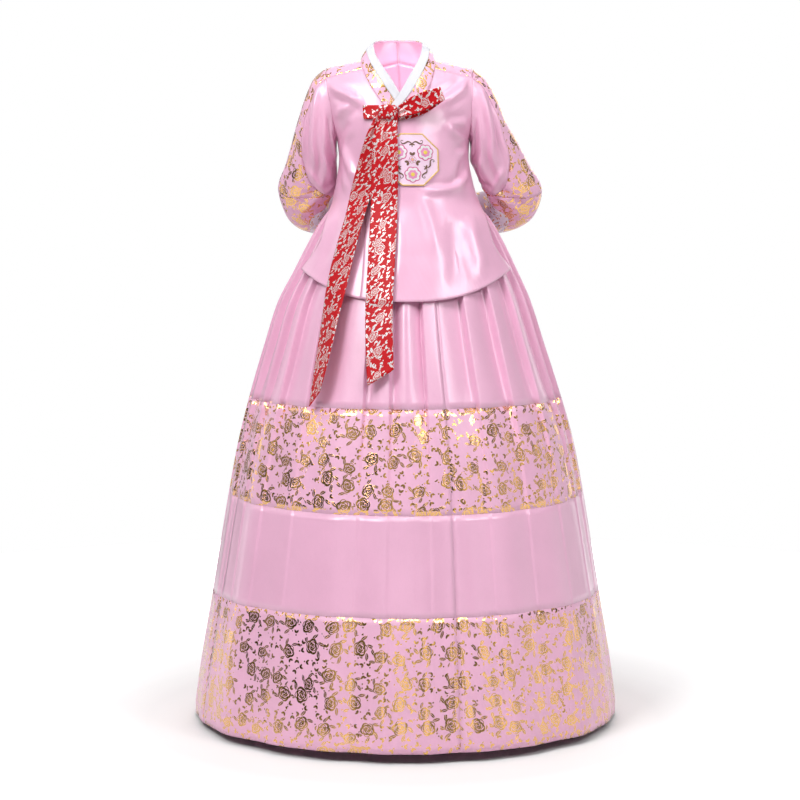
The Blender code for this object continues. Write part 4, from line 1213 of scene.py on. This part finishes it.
class HANBOK_OT_badge(bpy.types.Operator):
    """Embroider the eight-sided badge: gold border, flowers, small leaves and scrolls"""
    bl_idname = "hanbok.badge"
    bl_label = "Badge"

    def execute(self, context):
        corner = math.pi / BADGE_SIDES

        def from_middle(swing, radius, out=0.0):
            local = (swing + corner) % (2 * corner) - corner
            radius /= math.cos(local)
            return badge_face(radius * math.cos(swing), radius * math.sin(swing), out)

        def ground(turn, ring):
            return from_middle(math.radians(turn), BADGE_HALF * ring)

        def rim(turn, place):
            swing = math.radians(turn)
            return from_middle(2 * math.pi * place, BADGE_HALF - 0.0016 + 0.0015 * math.cos(swing),
                               0.0009 * math.sin(swing))

        cloth_piece("chest_badge", ground, spread(0.0, 360.0, 97), spread(0.05, 1.0, 18), "badge ground",
                    "laid", ["jacket_front_over"], flip=True, closed=True, thickness=BADGE_WALL)
        pieces = {name: bmesh.new() for name in ("gold", "rose", "inner", "white", "yellow", "brown")}
        lay_grid(pieces["gold"], spread(0.0, 180.0, 6), spread(0.0, 1.0, 193), rim)
        for angle, away, reach, petals in FLOWERS:
            spot = (away * math.cos(math.radians(angle)), away * math.sin(math.radians(angle)))
            for i in range(petals):
                turn = 2 * math.pi * i / petals + 0.2
                for thread, *shares, dome, base in PETALS:
                    lay_petal(pieces[thread], spot, turn, *[reach * share for share in shares], dome, base)
            for i in range(6):
                turn = 2 * math.pi * i / 6
                lay_petal(pieces["yellow"], spot, turn, -reach * 0.02, reach * 0.27, reach * 0.14,
                          0.0005, 0.0012)
        brown = pieces["brown"]
        for angle in (90.0, 210.0, 330.0):
            swing = math.radians(angle)
            outward = Vector((math.cos(swing), math.sin(swing)))
            aside = Vector((-outward.y, outward.x))

            def lay_leaf(away, turn, length, half):
                lay_petal(brown, outward * away, swing + turn, 0.0, length, half, 0.0004, 0.0003)

            for sign in (-1, 1):
                def scroll(place):
                    across, away = [blend(SCROLL, place, c) for c in (1, 2)]
                    return aside * (sign * across) + outward * (SCROLL_AT + away)

                lay_cord(brown, scroll, 0.0012, 0.0001)
                for away, turn, length, half in SIDE_LEAVES:
                    lay_leaf(away, sign * turn, length, half)
            lay_leaf(*MIDDLE_LEAF)
        for name, shape in pieces.items():
            settle(f"badge_{name}_stitches", shape, fetch(f"{name} thread"))
        return {"FINISHED"}


class HANBOK_OT_stage(bpy.types.Operator):
    """Set the pale studio: floor, soft lights and the camera"""
    bl_idname = "hanbok.stage"
    bl_label = "Studio and camera"

    def execute(self, context):
        shape = bmesh.new()
        bmesh.ops.create_circle(shape, cap_ends=True, segments=96, radius=FLOOR_RADIUS)
        bmesh.ops.translate(shape, verts=shape.verts, vec=(0.0, 0.0, FLOOR_Z))
        mesh = bpy.data.meshes.new("studio_floor")
        shape.to_mesh(mesh)
        shape.free()
        floor = put("studio_floor", mesh)
        paint, tree, shader = new_material("studio floor")
        place = add_node(tree, "TexCoord").outputs["Object"]
        tone = tuple(context.scene.hanbok_colours.floor)
        tree.links.new(ramped(tree, noise(tree, place, 1.5), shade(tone, 0.985), tone),
                       shader.inputs["Base Color"])
        flat = add_node(tree, "Mapping", place, Scale=(1.0, 1.0, 0.0)).outputs["Vector"]
        length = add_node(tree, "VectorMath")
        length.operation = "LENGTH"
        tree.links.new(flat, length.inputs[0])
        glow = (Formula(tree, length.outputs["Value"]) - 0.55) * 0.9
        glow = glow.most(0.0).math("MINIMUM", 1.0)
        seen = Formula(tree, add_node(tree, "LightPath").outputs["Is Camera Ray"])
        tree.links.new((glow * (seen * 0.82 + 0.18)).socket, shader.inputs["Emission Strength"])
        dial(shader, Roughness=0.8, Emission_Color=(1.0, 1.0, 1.0, 1.0))
        mesh.materials.append(paint)

        world = bpy.data.worlds.new("studio")
        context.scene.world = world
        world.use_nodes = True
        tree = world.node_tree
        around = add_node(tree, "TexCoord").outputs["Generated"]
        depth = Formula(tree, add_node(tree, "SeparateXYZ", around).outputs[1])
        level = (depth * 1.3 + 0.45).most(0.0).math("MINIMUM", 1.0) * 0.50 + 0.08
        patchy = noise(tree, stretched(tree, around, (5.5, 5.5, 0.8)), 1.0, 2.0)
        reflected = ((patchy - 0.5) * 8.0 + 0.55).most(0.03).math("MINIMUM", 1.8)
        path = add_node(tree, "LightPath")
        level = level + Formula(tree, path.outputs["Is Glossy Ray"]) * (reflected - level)
        level = level + Formula(tree, path.outputs["Is Camera Ray"]) * (level * -1.0 + 1.0)
        background = dial(tree.nodes["Background"], Color=(1.0, 1.0, 1.0, 1.0))
        tree.links.new(level.socket, background.inputs["Strength"])

        for name, spot, wide, tall, power in LIGHTS:
            lamp = bpy.data.lights.new(name, "AREA")
            lamp.shape = "RECTANGLE"
            lamp.size = wide
            lamp.size_y = tall
            lamp.energy = power
            holder = put(name, lamp)
            holder.location = spot
            holder.rotation_euler = (LIT_POINT - Vector(spot)).to_track_quat("-Z", "Y").to_euler()
        lamp = bpy.data.lights.new("neck_light", "POINT")
        lamp.energy = 0.35
        lamp.shadow_soft_size = 0.03
        holder = put("neck_light", lamp)
        holder.location = NECK_LIGHT_AT
        holder.visible_camera = False
        lens = bpy.data.cameras.new("photo_camera")
        lens.lens = CAMERA_LENS
        lens.sensor_width = 36.0
        camera = put("photo_camera", lens)
        camera.location = CAMERA_AT
        camera.rotation_euler = (math.radians(90.0 - CAMERA_DOWN), 0.0, 0.0)
        context.scene.camera = camera
        context.scene.view_settings.view_transform = "Standard"
        return {"FINISHED"}


class HANBOK_PT_panel(bpy.types.Panel):
    """Sizes, colours and pieces of the hanbok"""
    bl_label = "Hanbok"
    bl_idname = "HANBOK_PT_panel"
    bl_space_type = "VIEW_3D"
    bl_region_type = "UI"
    bl_category = "Hanbok"

    def draw(self, context):
        column = self.layout.column()
        for group in (context.scene.hanbok_sizes, context.scene.hanbok_colours):
            for name in group.__annotations__:
                column.prop(group, name)
        for operator in OPERATORS:
            column.operator(operator.bl_idname)


OPERATORS = (HANBOK_OT_skirt, HANBOK_OT_jacket, HANBOK_OT_sleeves, HANBOK_OT_collar, HANBOK_OT_ribbon,
             HANBOK_OT_badge, HANBOK_OT_stage)
CLASSES = (HanbokSizes, HanbokColours) + OPERATORS + (HANBOK_PT_panel,)


def register():
    for kind in CLASSES:
        bpy.utils.register_class(kind)
    bpy.types.Scene.hanbok_sizes = bpy.props.PointerProperty(type=HanbokSizes)
    bpy.types.Scene.hanbok_colours = bpy.props.PointerProperty(type=HanbokColours)


def unregister():
    del bpy.types.Scene.hanbok_colours
    del bpy.types.Scene.hanbok_sizes
    for kind in reversed(CLASSES):
        bpy.utils.unregister_class(kind)


def main():
    register()
    bpy.ops.hanbok.stage()
    bpy.ops.hanbok.skirt()
    bpy.ops.hanbok.jacket()
    bpy.ops.hanbok.sleeves()
    bpy.ops.hanbok.collar()
    bpy.ops.hanbok.ribbon()
    bpy.ops.hanbok.badge()


if __name__ == "__main__":
    main()
